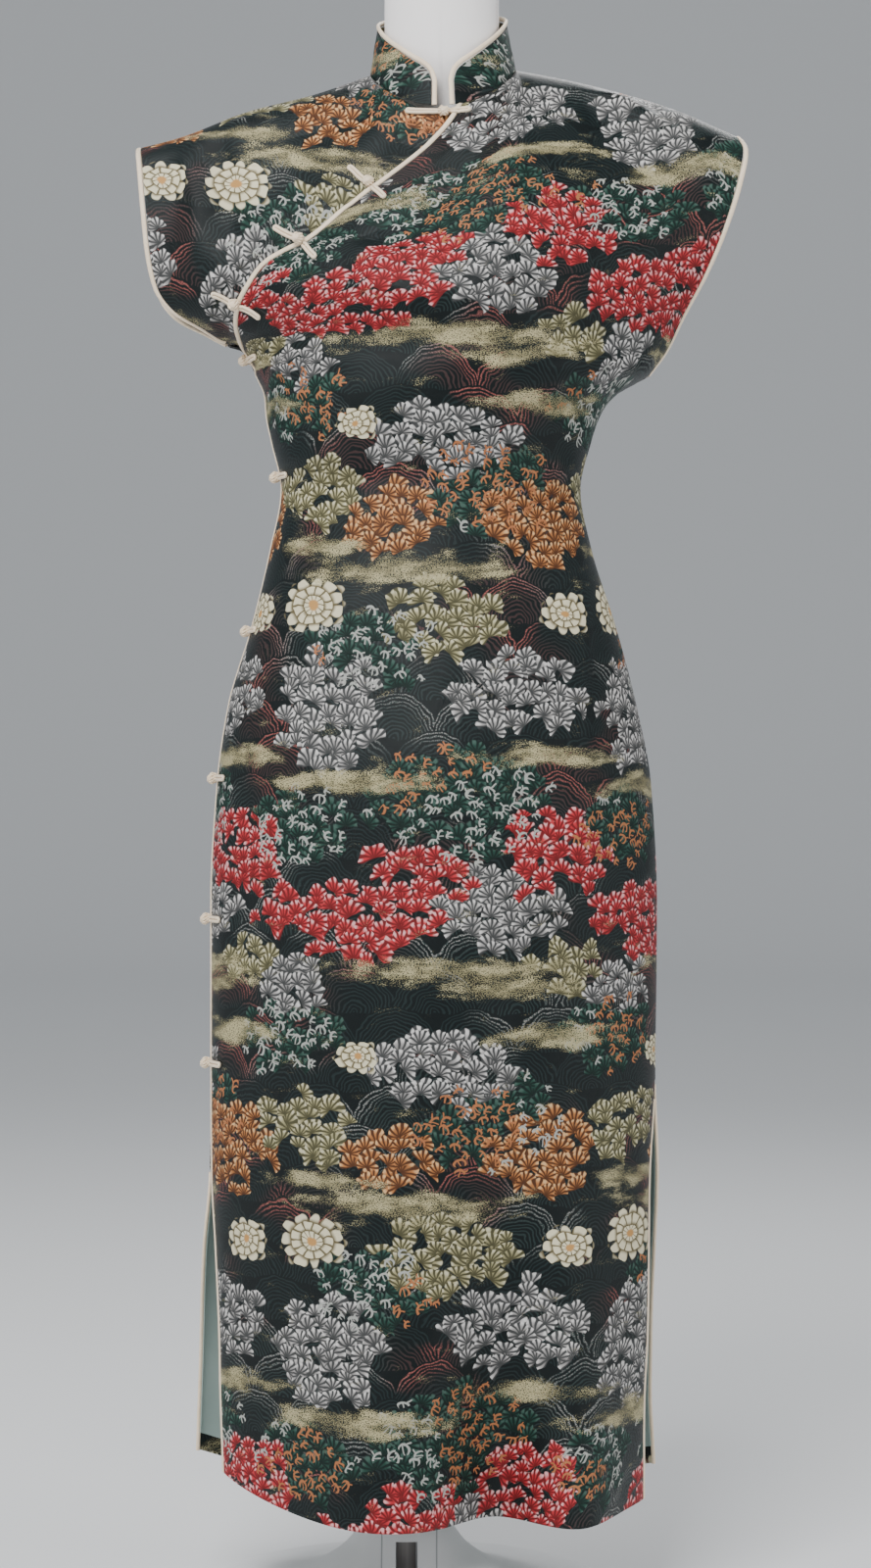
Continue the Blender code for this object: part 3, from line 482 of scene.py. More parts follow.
def set_out(piece, smooth_under, nodes):
    """Smooth a made piece, and put it in the place of its nodes."""
    bpy.ops.object.select_all(action="DESELECT")
    piece.select_set(True)
    bpy.context.view_layer.objects.active = piece
    bpy.ops.object.shade_smooth_by_angle(angle=math.radians(smooth_under))
    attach(piece, "root")
    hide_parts(*nodes)
    return piece


def make_cloth(name, faces, back, finishes, node, hem_rows=0, shift=(0.0, 0.0)):
    """Close two faces into cloth, with its flat measure as UV and the leaves' place as figure."""
    outer, inner = faces
    rows, cols = len(outer), len(outer[0])
    half = rows * cols
    mesh = bpy.data.meshes.new(name)
    quads, kinds = [], []
    for r in range(rows - 1):
        for c in range(cols - 1):
            a = r * cols + c
            quad = (a, a + 1, a + cols + 1, a + cols)
            quads.append(quad[::-1] if back else quad)
            kinds.append(0)
            inside = tuple(half + i for i in quad)
            quads.append(inside if back else inside[::-1])
            kinds.append(1 if r >= hem_rows and len(finishes) > 1 else 0)
    rim = list(range(cols)) + [r * cols + cols - 1 for r in range(1, rows)]
    rim += [(rows - 1) * cols + c for c in range(cols - 2, -1, -1)]
    rim += [r * cols for r in range(rows - 2, 0, -1)]
    for i, a in enumerate(rim):
        b = rim[(i + 1) % len(rim)]
        quad = (b, a, half + a, half + b)
        quads.append(quad[::-1] if back else quad)
        kinds.append(0)
    mesh.from_pydata([p for row in outer + inner for p in row], [], quads)
    wide_at, high_at = [], []
    for r, row in enumerate(outer):
        run = [0.0]
        for a, b in zip(row, row[1:]):
            run.append(run[-1] + math.hypot(b.x - a.x, b.y - a.y))
        centre = min(range(cols), key=lambda c: abs(row[c].x - DRESS_X))
        start = run[centre] - (row[centre].x - DRESS_X)
        wide_at.append([(x - start) * (-1.0 if back else 1.0) + shift[0] for x in run])
        if r == 0:
            high_at.append([p.z + shift[1] for p in row])
            continue
        below = outer[r - 1]
        lifts = [math.hypot(p.z - q.z, p.y - q.y) for p, q in zip(row, below)]
        high_at.append([h + lift for h, lift in zip(high_at[-1], lifts)])
    flat = mesh.uv_layers.new(name="weave")
    for face, kind in zip(mesh.polygons, kinds):
        face.material_index = kind
        for spot, corner in zip(face.vertices, face.loop_indices):
            r, c = divmod(spot % half, cols)
            flat.data[corner].uv = (wide_at[r][c], high_at[r][c])
    figure = mesh.attributes.new("figure", "FLOAT", "POINT")
    for spot in range(half):
        r, c = divmod(spot, cols)
        figure.data[spot].value = in_drift(wide_at[r][c], high_at[r][c])
    for finish in finishes:
        mesh.materials.append(finish)
    piece = bpy.data.objects.new(name, mesh)
    bpy.context.scene.collection.objects.link(piece)
    return set_out(piece, 55.0, [node])


class Finish:
    """A material in the making, with short ways to add its nodes."""

    def __init__(self, name):
        self.material = bpy.data.materials.new(name)
        self.material.use_nodes = True
        self.tree = self.material.node_tree
        self.shader = self.tree.nodes["Principled BSDF"]

    def put(self, socket, value):
        if isinstance(value, bpy.types.NodeSocket):
            self.tree.links.new(value, socket)
        elif value is not None:
            socket.default_value = value

    def sums(self, how, a, b=None, c=None, clamp=False):
        node = self.tree.nodes.new("ShaderNodeMath")
        node.operation = how
        node.use_clamp = clamp
        for socket, value in zip(node.inputs, (a, b, c)):
            self.put(socket, value)
        return node.outputs[0]

    def vector(self, how, a, b=None, c=None):
        node = self.tree.nodes.new("ShaderNodeVectorMath")
        node.operation = how
        for socket, value in zip(node.inputs, (a, b, c)):
            self.put(socket, value)
        return node.outputs["Value"] if how == "LENGTH" else node.outputs[0]

    def parts(self, value):
        node = self.tree.nodes.new("ShaderNodeSeparateXYZ")
        self.put(node.inputs[0], value)
        return node.outputs

    def cloud(self, where, scale, detail=2.0, rough=0.5, out="Fac"):
        node = self.tree.nodes.new("ShaderNodeTexNoise")
        self.put(node.inputs["Vector"], where)
        node.inputs["Scale"].default_value = scale
        node.inputs["Detail"].default_value = detail
        node.inputs["Roughness"].default_value = rough
        return node.outputs[out]

    def blend(self, share, a, b):
        node = self.tree.nodes.new("ShaderNodeMix")
        node.data_type = "RGBA"
        self.put(node.inputs[0], share)
        self.put(node.inputs[6], a if isinstance(a, bpy.types.NodeSocket) else (*a, 1.0))
        self.put(node.inputs[7], b if isinstance(b, bpy.types.NodeSocket) else (*b, 1.0))
        return node.outputs[2]

    def soft(self, value, low, high):
        node = self.tree.nodes.new("ShaderNodeMapRange")
        node.interpolation_type = "SMOOTHSTEP"
        self.put(node.inputs["Value"], value)
        node.inputs["From Min"].default_value = low
        node.inputs["From Max"].default_value = high
        return node.outputs["Result"]

    def plus(self, a, b):
        return self.sums("ADD", a, b)

    def minus(self, a, b):
        return self.sums("SUBTRACT", a, b)

    def size(self, value):
        return self.sums("ABSOLUTE", value)

    def wave(self, value, pitch):
        return self.sums("SINE", self.times(value, 2 * math.pi / pitch))

    def most(self, a, b):
        return self.sums("MAXIMUM", a, b)

    def far(self, x, y):
        return self.sums("SQRT", self.plus(self.times(x, x), self.times(y, y)))

    def times(self, *values):
        total = values[0]
        for value in values[1:]:
            total = self.sums("MULTIPLY", total, value)
        return total

    def uv(self, name):
        node = self.tree.nodes.new("ShaderNodeUVMap")
        node.uv_map = name
        return node.outputs["UV"]

    def cells(self, where, size, uneven):
        node = self.tree.nodes.new("ShaderNodeTexVoronoi")
        node.voronoi_dimensions = "2D"
        self.put(node.inputs["Vector"], where)
        node.inputs["Scale"].default_value = 1.0 / size
        node.inputs["Randomness"].default_value = uneven
        return node.outputs["Position"], self.parts(node.outputs["Color"])

    def turned(self, where, angle):
        node = self.tree.nodes.new("ShaderNodeVectorRotate")
        node.rotation_type = "Z_AXIS"
        self.put(node.inputs["Vector"], where)
        self.put(node.inputs["Angle"], angle)
        return node.outputs[0]

    def relief(self, height, deep, strength=1.0):
        node = self.tree.nodes.new("ShaderNodeBump")
        node.inputs["Strength"].default_value = strength
        node.inputs["Distance"].default_value = deep
        self.put(node.inputs["Height"], height)
        self.put(self.shader.inputs["Normal"], node.outputs[0])

    def look(self, colour, rough, sheen=0.0, specular=0.5):
        if isinstance(colour, tuple):
            colour = (*colour, 1.0)
        self.put(self.shader.inputs["Base Color"], colour)
        self.put(self.shader.inputs["Roughness"], rough)
        self.shader.inputs["Sheen Weight"].default_value = sheen
        self.shader.inputs["Sheen Roughness"].default_value = 0.4
        self.shader.inputs["Specular IOR Level"].default_value = specular


# The woven figure repeats every 270 by 490 mm. It is made of common motifs:
# leaf fans in drifts, sprigs, many-petalled flowers, wave arcs and mist.
WIDE = 0.27
HIGH = 0.49
Drift = namedtuple("Drift", "family x y rx ry")
DRIFTS = [Drift(*row) for row in (
    ("red", -0.070, 0.062, 0.072, 0.030),
    ("red", -0.016, 0.096, 0.042, 0.026),
    ("red", 0.098, 0.114, 0.046, 0.034),
    ("silver", 0.048, 0.074, 0.052, 0.034),
    ("silver", -0.085, 0.222, 0.044, 0.046),
    ("silver", 0.066, 0.238, 0.058, 0.032),
    ("silver", 0.004, 0.436, 0.058, 0.028),
    ("silver", -0.112, 0.010, 0.030, 0.022),
    ("khaki", 0.008, 0.296, 0.050, 0.030),
    ("khaki", -0.106, 0.394, 0.040, 0.028),
    ("khaki", 0.110, 0.026, 0.030, 0.020),
    ("orange", 0.086, 0.372, 0.048, 0.034),
    ("orange", -0.034, 0.370, 0.036, 0.024),
    ("green", 0.020, 0.152, 0.070, 0.042),
    ("green", -0.050, 0.268, 0.050, 0.032),
    ("green", 0.044, 0.396, 0.060, 0.034),
    ("green", -0.122, 0.462, 0.048, 0.028),
    ("green", -0.112, 0.132, 0.046, 0.030),
)]
Mist = namedtuple("Mist", "x y rx ry")
MISTS = [Mist(*row) for row in (
    (0.018, 0.022, 0.088, 0.0110),
    (0.060, 0.010, 0.050, 0.0080),
    (-0.060, 0.166, 0.074, 0.0100),
    (0.088, 0.188, 0.056, 0.0085),
    (-0.024, 0.332, 0.084, 0.0110),
    (-0.094, 0.350, 0.044, 0.0070),
    (0.094, 0.462, 0.056, 0.0095),
)]
Flower = namedtuple("Flower", "x y size petals")
FLOWERS = [
    Flower(-0.100, 0.304, 0.029, 11.0),
    Flower(0.106, 0.300, 0.023, 9.0),
    Flower(-0.062, 0.446, 0.018, 8.0),
]
Tone = namedtuple("Tone", "dark light rim")
TONES = {
    "red": Tone((0.16, 0.010, 0.012), (0.56, 0.035, 0.045), (0.82, 0.42, 0.42)),
    "silver": Tone((0.05, 0.052, 0.052), (0.36, 0.345, 0.335), (0.66, 0.64, 0.62)),
    "khaki": Tone((0.07, 0.065, 0.03), (0.36, 0.33, 0.18), (0.60, 0.56, 0.38)),
    "orange": Tone((0.08, 0.028, 0.010), (0.47, 0.185, 0.06), (0.70, 0.42, 0.20)),
    "green": Tone((0.004, 0.014, 0.011), (0.014, 0.052, 0.038), (0.05, 0.10, 0.08)),
}
GROUND = (0.0035, 0.0068, 0.0072)
ARC_WIDE = 0.064
ARC_HIGH = 0.030
ARC_LINE = 0.0030
FAN_LAYERS = ((0.0180, 0.0), (0.0140, 3.7))
SPRIG_CELL = 0.0110
WEFT_PITCH = 0.00055
WARP_PITCH = 0.00042


def in_drift(x, y):
    """1 well inside a drift of leaves, 0 on the plain ground."""
    best = 2.0
    for row in DRIFTS:
        across = (x - row.x + WIDE / 2) % WIDE - WIDE / 2
        up = (y - row.y + HIGH / 2) % HIGH - HIGH / 2
        best = min(best, math.hypot(across / row.rx, up / row.ry))
    return ease((1.35 - best) / 0.6)


def weave_brocade(name):
    f = Finish(name)
    flat = f.uv("weave")
    stray = f.vector("SUBTRACT", f.cloud(flat, 55.0, 2.0, out="Color"), (0.5, 0.5, 0.5))
    shifted = f.vector("MULTIPLY_ADD", stray, (0.008, 0.008, 0.0), flat)
    place = f.parts(flat)
    span, negative = (WIDE / 2, HIGH / 2, 1.0), (-WIDE / 2, -HIGH / 2, -1.0)

    def patch(point, rows, edge):
        best = None
        for row in rows:
            last = (row.x + WIDE / 2, row.y + HIGH / 2, 1.0)
            first = (row.x - WIDE / 2, row.y - HIGH / 2, -1.0)
            away = f.vector("WRAP", point, last, first)
            scale, push = (1.0 / row.rx, 1.0 / row.ry, 0.0), (-row.x / row.rx, -row.y / row.ry, 0.0)
            reach = f.vector("LENGTH", f.vector("MULTIPLY_ADD", away, scale, push))
            best = reach if best is None else f.sums("MINIMUM", best, reach)
        return f.soft(best, 1.0 + edge, 1.0 - edge)

    bent = f.parts(f.vector("MULTIPLY_ADD", stray, (0.014, 0.012, 0.0), flat))
    row_number = f.sums("FLOOR", f.sums("DIVIDE", bent[1], ARC_HIGH))
    in_row = f.minus(bent[1], f.times(row_number, ARC_HIGH))
    odd = f.times(f.sums("MODULO", f.plus(row_number, 200.0), 2.0), ARC_WIDE / 2)
    rings = []
    for push, lift in ((0.0, 0.0), (ARC_WIDE / 2, ARC_HIGH)):
        x = f.sums("WRAP", f.plus(f.plus(bent[0], odd), push), -ARC_WIDE / 2, ARC_WIDE / 2)
        rings.append(f.far(x, f.plus(in_row, lift)))
    reach = ARC_WIDE * 0.56
    over = f.sums("LESS_THAN", rings[1], reach)
    far = f.plus(f.times(rings[1], over), f.times(rings[0], f.minus(1.0, over)))
    inside = f.sums("LESS_THAN", far, reach)
    line = f.soft(f.wave(far, ARC_LINE), -0.1, 0.9)
    rim = f.soft(far, reach * 0.55, reach * 0.98)
    hills = f.cloud(f.vector("MULTIPLY", flat, (1.0, 1.6, 1.0)), 11.0, 1.0)
    hill = f.times(f.soft(hills, 0.46, 0.58), inside)
    arc_line = f.times(line, f.plus(0.35, f.times(rim, 0.65)))
    hue = f.soft(f.cloud(flat, 8.0, 0.0), 0.46, 0.60)
    tint = f.blend(hue, (0.030, 0.050, 0.046), (0.115, 0.034, 0.032))
    rim_tint = f.blend(hue, (0.25, 0.24, 0.23), (0.32, 0.10, 0.085))
    colour = f.blend(f.times(line, inside, 0.7), GROUND, (0.016, 0.028, 0.028))
    colour = f.blend(f.times(arc_line, hill), colour, tint)
    glint = f.soft(f.cloud(flat, 900.0, 0.0), 0.42, 0.58)
    colour = f.blend(f.times(rim, hill, line, glint), colour, rim_tint)
    arcs = f.times(arc_line, hill, 0.5)
    figure = f.tree.nodes.new("ShaderNodeAttribute")
    figure.attribute_name = "figure"
    raised = 0.0
    gloss = arcs

    for size, seed in FAN_LAYERS:
        spot, chance = f.cells(f.vector("ADD", shifted, (seed, seed, 0.0)), size, 0.85)
        middle = f.vector("SUBTRACT", spot, (seed, seed, 0.0))
        swing = f.times(f.minus(chance[0], 0.5), 1.9)
        away = f.parts(f.turned(f.vector("SUBTRACT", shifted, middle), swing))
        lifted = f.plus(away[1], size * 0.28)
        fan_far = f.far(away[0], lifted)
        turn = f.sums("ARCTAN2", away[0], lifted)
        lobes = f.times(f.size(f.sums("SINE", f.times(turn, 3.0))), size * 0.12)
        body = f.soft(f.minus(fan_far, lobes), size * 0.63, size * 0.55)
        fan = f.times(body, f.soft(f.size(turn), 1.85, 1.65))
        rib = f.soft(f.sums("SINE", f.times(turn, 12.0)), -0.55, 0.6)
        light = f.times(rib, f.soft(fan_far, size * 0.06, size * 0.50))
        edge = f.soft(fan_far, size * 0.42, size * 0.62)
        raised = f.most(raised, f.times(fan, f.plus(0.5, f.times(rib, 0.5)), figure.outputs["Fac"]))
        ragged = f.times(f.minus(f.cloud(middle, 48.0, 0.0), 0.5), 1.2)
        for family in ("green", "orange", "khaki", "silver", "red"):
            tone = TONES[family]
            near = patch(middle, [row for row in DRIFTS if row.family == family], 0.35)
            here = f.times(fan, f.sums("GREATER_THAN", f.plus(near, ragged), 0.5))
            leaf = f.blend(f.times(edge, rib), f.blend(light, tone.dark, tone.light), tone.rim)
            colour = f.blend(here, colour, leaf)
            gloss = f.most(gloss, here)

    spot, chance = f.cells(shifted, SPRIG_CELL, 0.95)
    away = f.turned(f.vector("SUBTRACT", shifted, spot), f.times(f.minus(chance[1], 0.5), 2.6))
    length = f.plus(0.0030, f.times(chance[0], 0.0026))
    short = f.soft(f.minus(f.vector("LENGTH", away), length), 0.0006, 0.0)
    away = f.parts(away)
    bow = f.far(away[0], f.plus(away[1], 0.0030))
    bow = f.size(f.minus(bow, 0.0040))
    twig = f.size(f.minus(away[0], f.times(away[1], 0.6)))
    twig = f.times(f.soft(twig, 0.0009, 0.0004), f.sums("GREATER_THAN", away[1], 0.0))
    stem = f.size(f.plus(f.plus(away[0], 0.0014), f.times(away[1], 0.5)))
    stem = f.times(f.soft(stem, 0.0008, 0.0003), f.sums("LESS_THAN", away[1], 0.0012))
    sprig = f.most(f.soft(bow, 0.0011, 0.0005), f.most(twig, stem))
    bed = patch(spot, [row for row in DRIFTS if row.family == "green"], 0.4)
    strewn = f.plus(bed, f.times(f.minus(chance[2], 0.5), 0.8))
    sprig = f.times(sprig, short, f.sums("GREATER_THAN", strewn, 0.55))
    warm = f.sums("GREATER_THAN", f.cloud(spot, 7.0, 0.0), 0.52)
    colour = f.blend(sprig, colour, f.blend(warm, (0.38, 0.39, 0.36), (0.40, 0.15, 0.06)))
    gloss = f.most(gloss, sprig)

    for row in FLOWERS:
        spot = f.vector("WRAP", f.vector("SUBTRACT", shifted, (row.x, row.y, 0.0)), span, negative)
        away = f.parts(spot)
        squashed = f.times(away[1], 1.25)
        ringed = f.sums("DIVIDE", f.far(away[0], squashed), row.size)
        turn = f.sums("ARCTAN2", squashed, away[0])
        layer = f.sums("FLOOR", f.times(ringed, 3.2))
        petal = f.plus(f.times(turn, row.petals / 2), f.times(layer, 1.57))
        which = f.sums("FLOOR", f.sums("DIVIDE", petal, math.pi))
        petal = f.size(f.sums("SINE", petal))
        uneven = f.sums("FRACT", f.times(f.sums("SINE", f.times(which, 12.9)), 43.7))
        outer = f.plus(ringed, f.times(f.minus(1.0, petal), 0.28))
        outer = f.plus(outer, f.times(uneven, 0.20))
        here = f.soft(outer, 1.12, 1.04)
        shade = f.times(f.soft(petal, 0.10, 0.55), f.soft(f.sums("FRACT", f.times(ringed, 3.2)), 0.0, 0.45))
        bloom = f.blend(shade, (0.12, 0.095, 0.045), (0.72, 0.66, 0.46))
        bloom = f.blend(f.soft(ringed, 0.20, 0.12), bloom, (0.50, 0.27, 0.09))
        colour = f.blend(here, colour, bloom)
        gloss = f.most(gloss, here)

    fray = f.cloud(f.vector("MULTIPLY", flat, (1.0, 2.6, 1.0)), 30.0, 3.0, 0.62)
    haze = f.sums("ADD", patch(flat, MISTS, 0.8), f.times(f.minus(fray, 0.52), 2.6), clamp=True)
    speck = f.cloud(f.vector("MULTIPLY", flat, (1.0, 1.9, 1.0)), 820.0, 0.0)
    mist = f.soft(f.minus(f.times(haze, 0.37), f.minus(speck, 0.27)), -0.02, 0.09)
    mist = f.times(mist, f.soft(haze, 0.12, 0.75))
    colour = f.blend(mist, colour, f.blend(f.soft(fray, 0.45, 0.62), (0.25, 0.22, 0.115), (0.46, 0.41, 0.23)))
    gloss = f.most(gloss, mist)

    # The weft wave is painted shade in the colour: each weft thread is lighter on its crown and darker
    # between threads, following the same wave as the thread relief. The slow cloud is a random tone across
    # the cloth.
    weft = f.wave(place[1], WEFT_PITCH)
    warp = f.wave(place[0], WARP_PITCH)
    painted_thread_shade = f.plus(0.88, f.times(weft, 0.10))
    slow = f.plus(0.86, f.times(f.cloud(flat, 14.0, 1.0), 0.28))
    shade = f.tree.nodes.new("ShaderNodeVectorMath")
    shade.operation = "SCALE"
    f.put(shade.inputs[0], colour)
    f.put(shade.inputs["Scale"], f.times(painted_thread_shade, slow))
    f.look(shade.outputs[0], f.plus(0.31, f.times(gloss, 0.19)), 0.0, 0.18)
    threads = f.times(f.plus(weft, f.times(warp, 0.5)), 0.10)
    f.relief(f.plus(f.times(raised, 0.8), threads), 0.0005, 0.6)
    return f.material


def weave_lining(name):
    f = Finish(name)
    flat = f.uv("weave")
    tone = f.blend(f.cloud(flat, 18.0, 3.0), (0.27, 0.36, 0.33), (0.36, 0.45, 0.42))
    f.look(tone, 0.55, 0.1)
    place = f.parts(flat)
    weft = f.wave(place[1], 0.0006)
    warp = f.wave(place[0], 0.0006)
    wrinkle = f.cloud(f.vector("MULTIPLY", flat, (1.0, 0.35, 1.0)), 45.0, 2.0)
    f.relief(f.plus(f.times(f.plus(weft, warp), 0.05), wrinkle), 0.0012, 0.35)
    return f.material


brocade = weave_brocade("figured_satin")
sage_lining = weave_lining("sage_lining")
LOWER_ROWS = 190
UPPER_ROWS = 78
FRONT_COLUMNS = 104
HEM_ROWS = 5
levels = [i / LOWER_ROWS for i in range(LOWER_ROWS + 1)]
levels += [1.0 + (1.0 - (1.0 - i / UPPER_ROWS) ** 1.5) for i in range(1, UPPER_ROWS + 1)]
all_rows = range(len(levels))
upper_rows = range(LOWER_ROWS, len(levels))
left_slit_rows = range(sum(1 for level in levels if level <= 0.265))
right_slit_rows = range(sum(1 for level in levels if level <= 0.355))
overlap_at = {level: overlap_u(level - 1.0) if level > 1.0 else 0.0 for level in levels}



def front_places(level):
    v = max(0.0, level - 1.0)
    return columns(overlap_at[level], 1.0, 0.5 + NECK_U, FRONT_COLUMNS, 38, v ** 3)


front_faces = hang("front", levels, front_places)
draw_in(front_faces, all_rows, False)
draw_in(front_faces, right_slit_rows, True)
draw_in(front_faces, upper_rows, True)
front_cloth = make_cloth(
    "front_cloth", front_faces, False, [brocade, sage_lining], "front_panel", HEM_ROWS,
)

# Front underlap: the wearer's right shoulder with its cap sleeve, a piece of
# its own in the same satin. It slips a finger's width under the slanted edge,
# and the frogs hold the two together.
UNDER_DROP = 0.0038
UNDERLAP_U = 0.065
UNDER_COLUMNS = 62
under_levels = [level for level in levels if level >= 1.0]


def under_places(level):
    v = level - 1.0
    end = overlap_at[level] + UNDERLAP_U * (1.0 - 0.35 * v)
    return columns(0.0, end, 0.5 - NECK_U, UNDER_COLUMNS, 40, v ** 3)


def under_drop(u, level):
    return UNDER_DROP * ease((u - overlap_at[level] + 0.085) / 0.05)


under_faces = hang("front", under_levels, under_places, under_drop)
cuff_left_start = sum(1 for level in under_levels if level < 1.16)
draw_in(under_faces, range(cuff_left_start, len(under_levels)), False)
under_cloth = make_cloth(
    "underlap_cloth", under_faces, False, [brocade, sage_lining], "front_underlap",
    shift=(0.062, 0.137),
)

# Back panel: one piece of the same satin from collar to hem, with the backs of
# both cap sleeves, taken in at the waist by two darts and left open below the
# hips at both sides. Its hem is turned up over the edge of the lining.
BACK_COLUMNS = 100


def back_places(level):
    v = max(0.0, level - 1.0)
    half = BACK_COLUMNS // 2
    left = columns(0.0, 0.5, 0.5 - NECK_U, half, half - 18, v ** 3)
    return left + columns(0.5, 1.0, 0.5 + NECK_U, half, 18, v ** 3)[1:]


back_faces = hang("back", levels, back_places)
draw_in(back_faces, left_slit_rows, False)
draw_in(back_faces, right_slit_rows, True)
draw_in(back_faces, range(LOWER_ROWS + cuff_left_start, len(levels)), False)
draw_in(back_faces, upper_rows, True)
back_cloth = make_cloth(
    "back_cloth", back_faces, True, [brocade, sage_lining], "back_panel", len(levels),
    shift=(0.11, 0.21),
)

# Back lining: thin pale sage cloth, sewn in behind the back skirt a finger's
# width above the hem, and seen through both slits.
lining_levels = [level for level in levels if 0.012 <= level <= 0.44]
lining_faces = hang(
    "back", lining_levels, lambda level: back_places(level)[2:-2],
    lambda u, level: WALL + 0.0004, 0.0007,
)
lining_cloth = make_cloth("lining_cloth", lining_faces, True, [sage_lining], "back_lining")

# Standing collar: two layers of the satin over a stiff canvas, on the neckline
# all round, with a gap of a finger's width at the throat.
COLLAR_TOP = [
    (9.0, 1.4080), (12.0, 1.4170), (17.0, 1.4220), (30.0, 1.4300),
    (50.0, 1.4420), (90.0, 1.4636), (135.0, 1.4760), (180.0, 1.4800),
]


def collar_point(angle, rise):
    """rise 0 is the neckline, 1 the upper edge."""
    x, _, z = neck_point(angle)
    degrees = math.degrees(angle)
    degrees = 360.0 - degrees if degrees > 180.0 else degrees
    top = through([r[0] for r in COLLAR_TOP], [r[1] for r in COLLAR_TOP], degrees)
    low = z + SEAM + 0.0004
    height = low + (top + NECK_TILT * (x - NECK_X) - low) * rise
    lean = (height - z) / 0.05
    wide = NECK_HALF_X - 0.0088 * lean
    deep = NECK_HALF_Y - 0.0105 * lean
    return Vector((
        NECK_X - 0.001 * lean + wide * math.sin(angle) + DRESS_X,
        NECK_Y + 0.0015 * lean - deep * math.cos(angle),
        height - FLOOR_Z,
    ))


COLLAR_ROWS = 14
collar_start = math.radians(9.5)
collar_turns = [0.03 * (i / 10) ** 1.3 for i in range(10)]
collar_turns += [0.03 + 0.94 * i / 130 for i in range(131)]
collar_turns += [1.0 - t for t in reversed(collar_turns[:10])]
collar_angles = [collar_start + (2 * math.pi - 2 * collar_start) * t for t in collar_turns]
collar_outer, collar_inner = [], []
for i in range(COLLAR_ROWS + 1):
    rise = i / COLLAR_ROWS
    collar_outer.append([])
    collar_inner.append([])
    for angle in collar_angles:
        way = Vector((math.sin(angle), -math.cos(angle), 0.0))
        soft_wave = 0.0005 * math.sin(math.pi * rise) * noise.noise(Vector((angle * 2.0, rise * 3.0, 5.0)))
        collar_outer[i].append(collar_point(angle, rise) + way * soft_wave)
        collar_inner[i].append(collar_outer[i][-1] - way * WALL)
collar_cloth = make_cloth(
    "collar_cloth", (collar_outer, collar_inner), False, [brocade, brocade], "collar",
    shift=(0.02, 0.215),
)

# Bindings: bias strips of cream satin folded over every free edge and slip
# stitched inside, so that they read as a round cord four millimetres wide.
BIND_MIDDLE = 0.0026
BIND_HALF_WIDE = 0.0020
BIND_HALF_THICK = 0.0014


def satin_binding(name):
    f = Finish(name)
    flat = f.uv("strip")
    place = f.parts(flat)
    tone = f.blend(f.cloud(flat, 70.0, 3.0), (0.78, 0.60, 0.41), (0.91, 0.79, 0.61))
    slant = f.wave(f.plus(place[1], f.times(place[0], 0.8)), 0.0011)
    pull = f.cloud(f.vector("MULTIPLY", flat, (0.6, 1.0, 1.0)), 420.0, 2.0)
    soil = f.soft(f.cloud(flat, 26.0, 3.0), 0.56, 0.80)
    tone = f.blend(f.times(soil, 0.4), tone, (0.60, 0.43, 0.27))
    f.look(tone, 0.42, 0.15, 0.45)
    f.relief(f.plus(f.times(slant, 0.25), pull), 0.0004, 0.5)
    return f.material


cream_satin = satin_binding("cream_satin")


def edge_frames(faces, rows, c, inward):
    """The middle of an edge, the way out of it and the cloth's own way out."""
    outer, inner = faces
    middles = [(outer[r][c] + inner[r][c]) / 2 for r in rows]
    frames = []
    for i, r in enumerate(rows):
        run = (middles[min(len(middles) - 1, i + 2)] - middles[max(0, i - 2)]).normalized()
        out = outer[r][c] - inner[r][c]
        away = outer[r][c] - outer[r][c + inward]
        away = (away - run * away.dot(run)).normalized()
        normal = out - run * out.dot(run) - away * out.dot(away)
        if normal.length < 1e-6:
            normal = run.cross(away)
        frames.append((middles[i], away, normal.normalized()))
    return frames


def own_piece(name, verts, quads, finish, nodes, uvs, layer="strip"):
    """A finished piece from its faces, smooth, and standing for its nodes."""
    mesh = bpy.data.meshes.new(name)
    mesh.from_pydata(verts, [], quads)
    flat = mesh.uv_layers.new(name=layer)
    for face in mesh.polygons:
        for spot, corner in zip(face.vertices, face.loop_indices):
            flat.data[corner].uv = uvs[spot]
    work = bmesh.new()
    work.from_mesh(mesh)
    bmesh.ops.recalc_face_normals(work, faces=work.faces[:])
    work.to_mesh(mesh)
    work.free()
    mesh.materials.append(finish)
    piece = bpy.data.objects.new(name, mesh)
    bpy.context.scene.collection.objects.link(piece)
    return set_out(piece, 50.0, nodes)


def close_tube(quads, start, rings, around, looped=False):
    """The faces of a tube of rings, with shut ends unless it is a loop."""
    for i in range(rings if looped else rings - 1):
        low, high = start + i * around, start + (i + 1) % rings * around
        for k in range(around):
            n = (k + 1) % around
            quads.append((low + k, low + n, high + n, high + k))
    if not looped:
        quads.append(tuple(start + k for k in range(around)))
        quads.append(tuple(start + rings * around - 1 - k for k in range(around)))


BIND_AROUND = 14


def bind_edge(name, frames, node, side=None):
    """One strip folded over an edge; a side keeps it to its half of a seam."""
    verts, quads, uvs = [], [], []
    run, last = 0.0, frames[0][0]
    for middle, away, normal in frames:
        run += (middle - last).length
        last = middle
        plump = 1.0 + 0.07 * noise.noise(Vector((run * 130.0, len(name), 0.0)))
        for k in range(BIND_AROUND):
            turn = 2 * math.pi * k / BIND_AROUND
            a = BIND_MIDDLE - BIND_HALF_WIDE * math.cos(turn) * plump
            b = BIND_HALF_THICK * math.sin(turn) * plump
            p = middle + away * a + normal * b
            if side == "front":
                p.y = min(p.y, -SEAM / 2)
            if side == "back":
                p.y = max(p.y, SEAM / 2)
            verts.append(p)
            uvs.append((k * 0.0008, run))
    close_tube(quads, 0, len(frames), BIND_AROUND)
    return own_piece(name, verts, quads, cream_satin, [node], uvs)


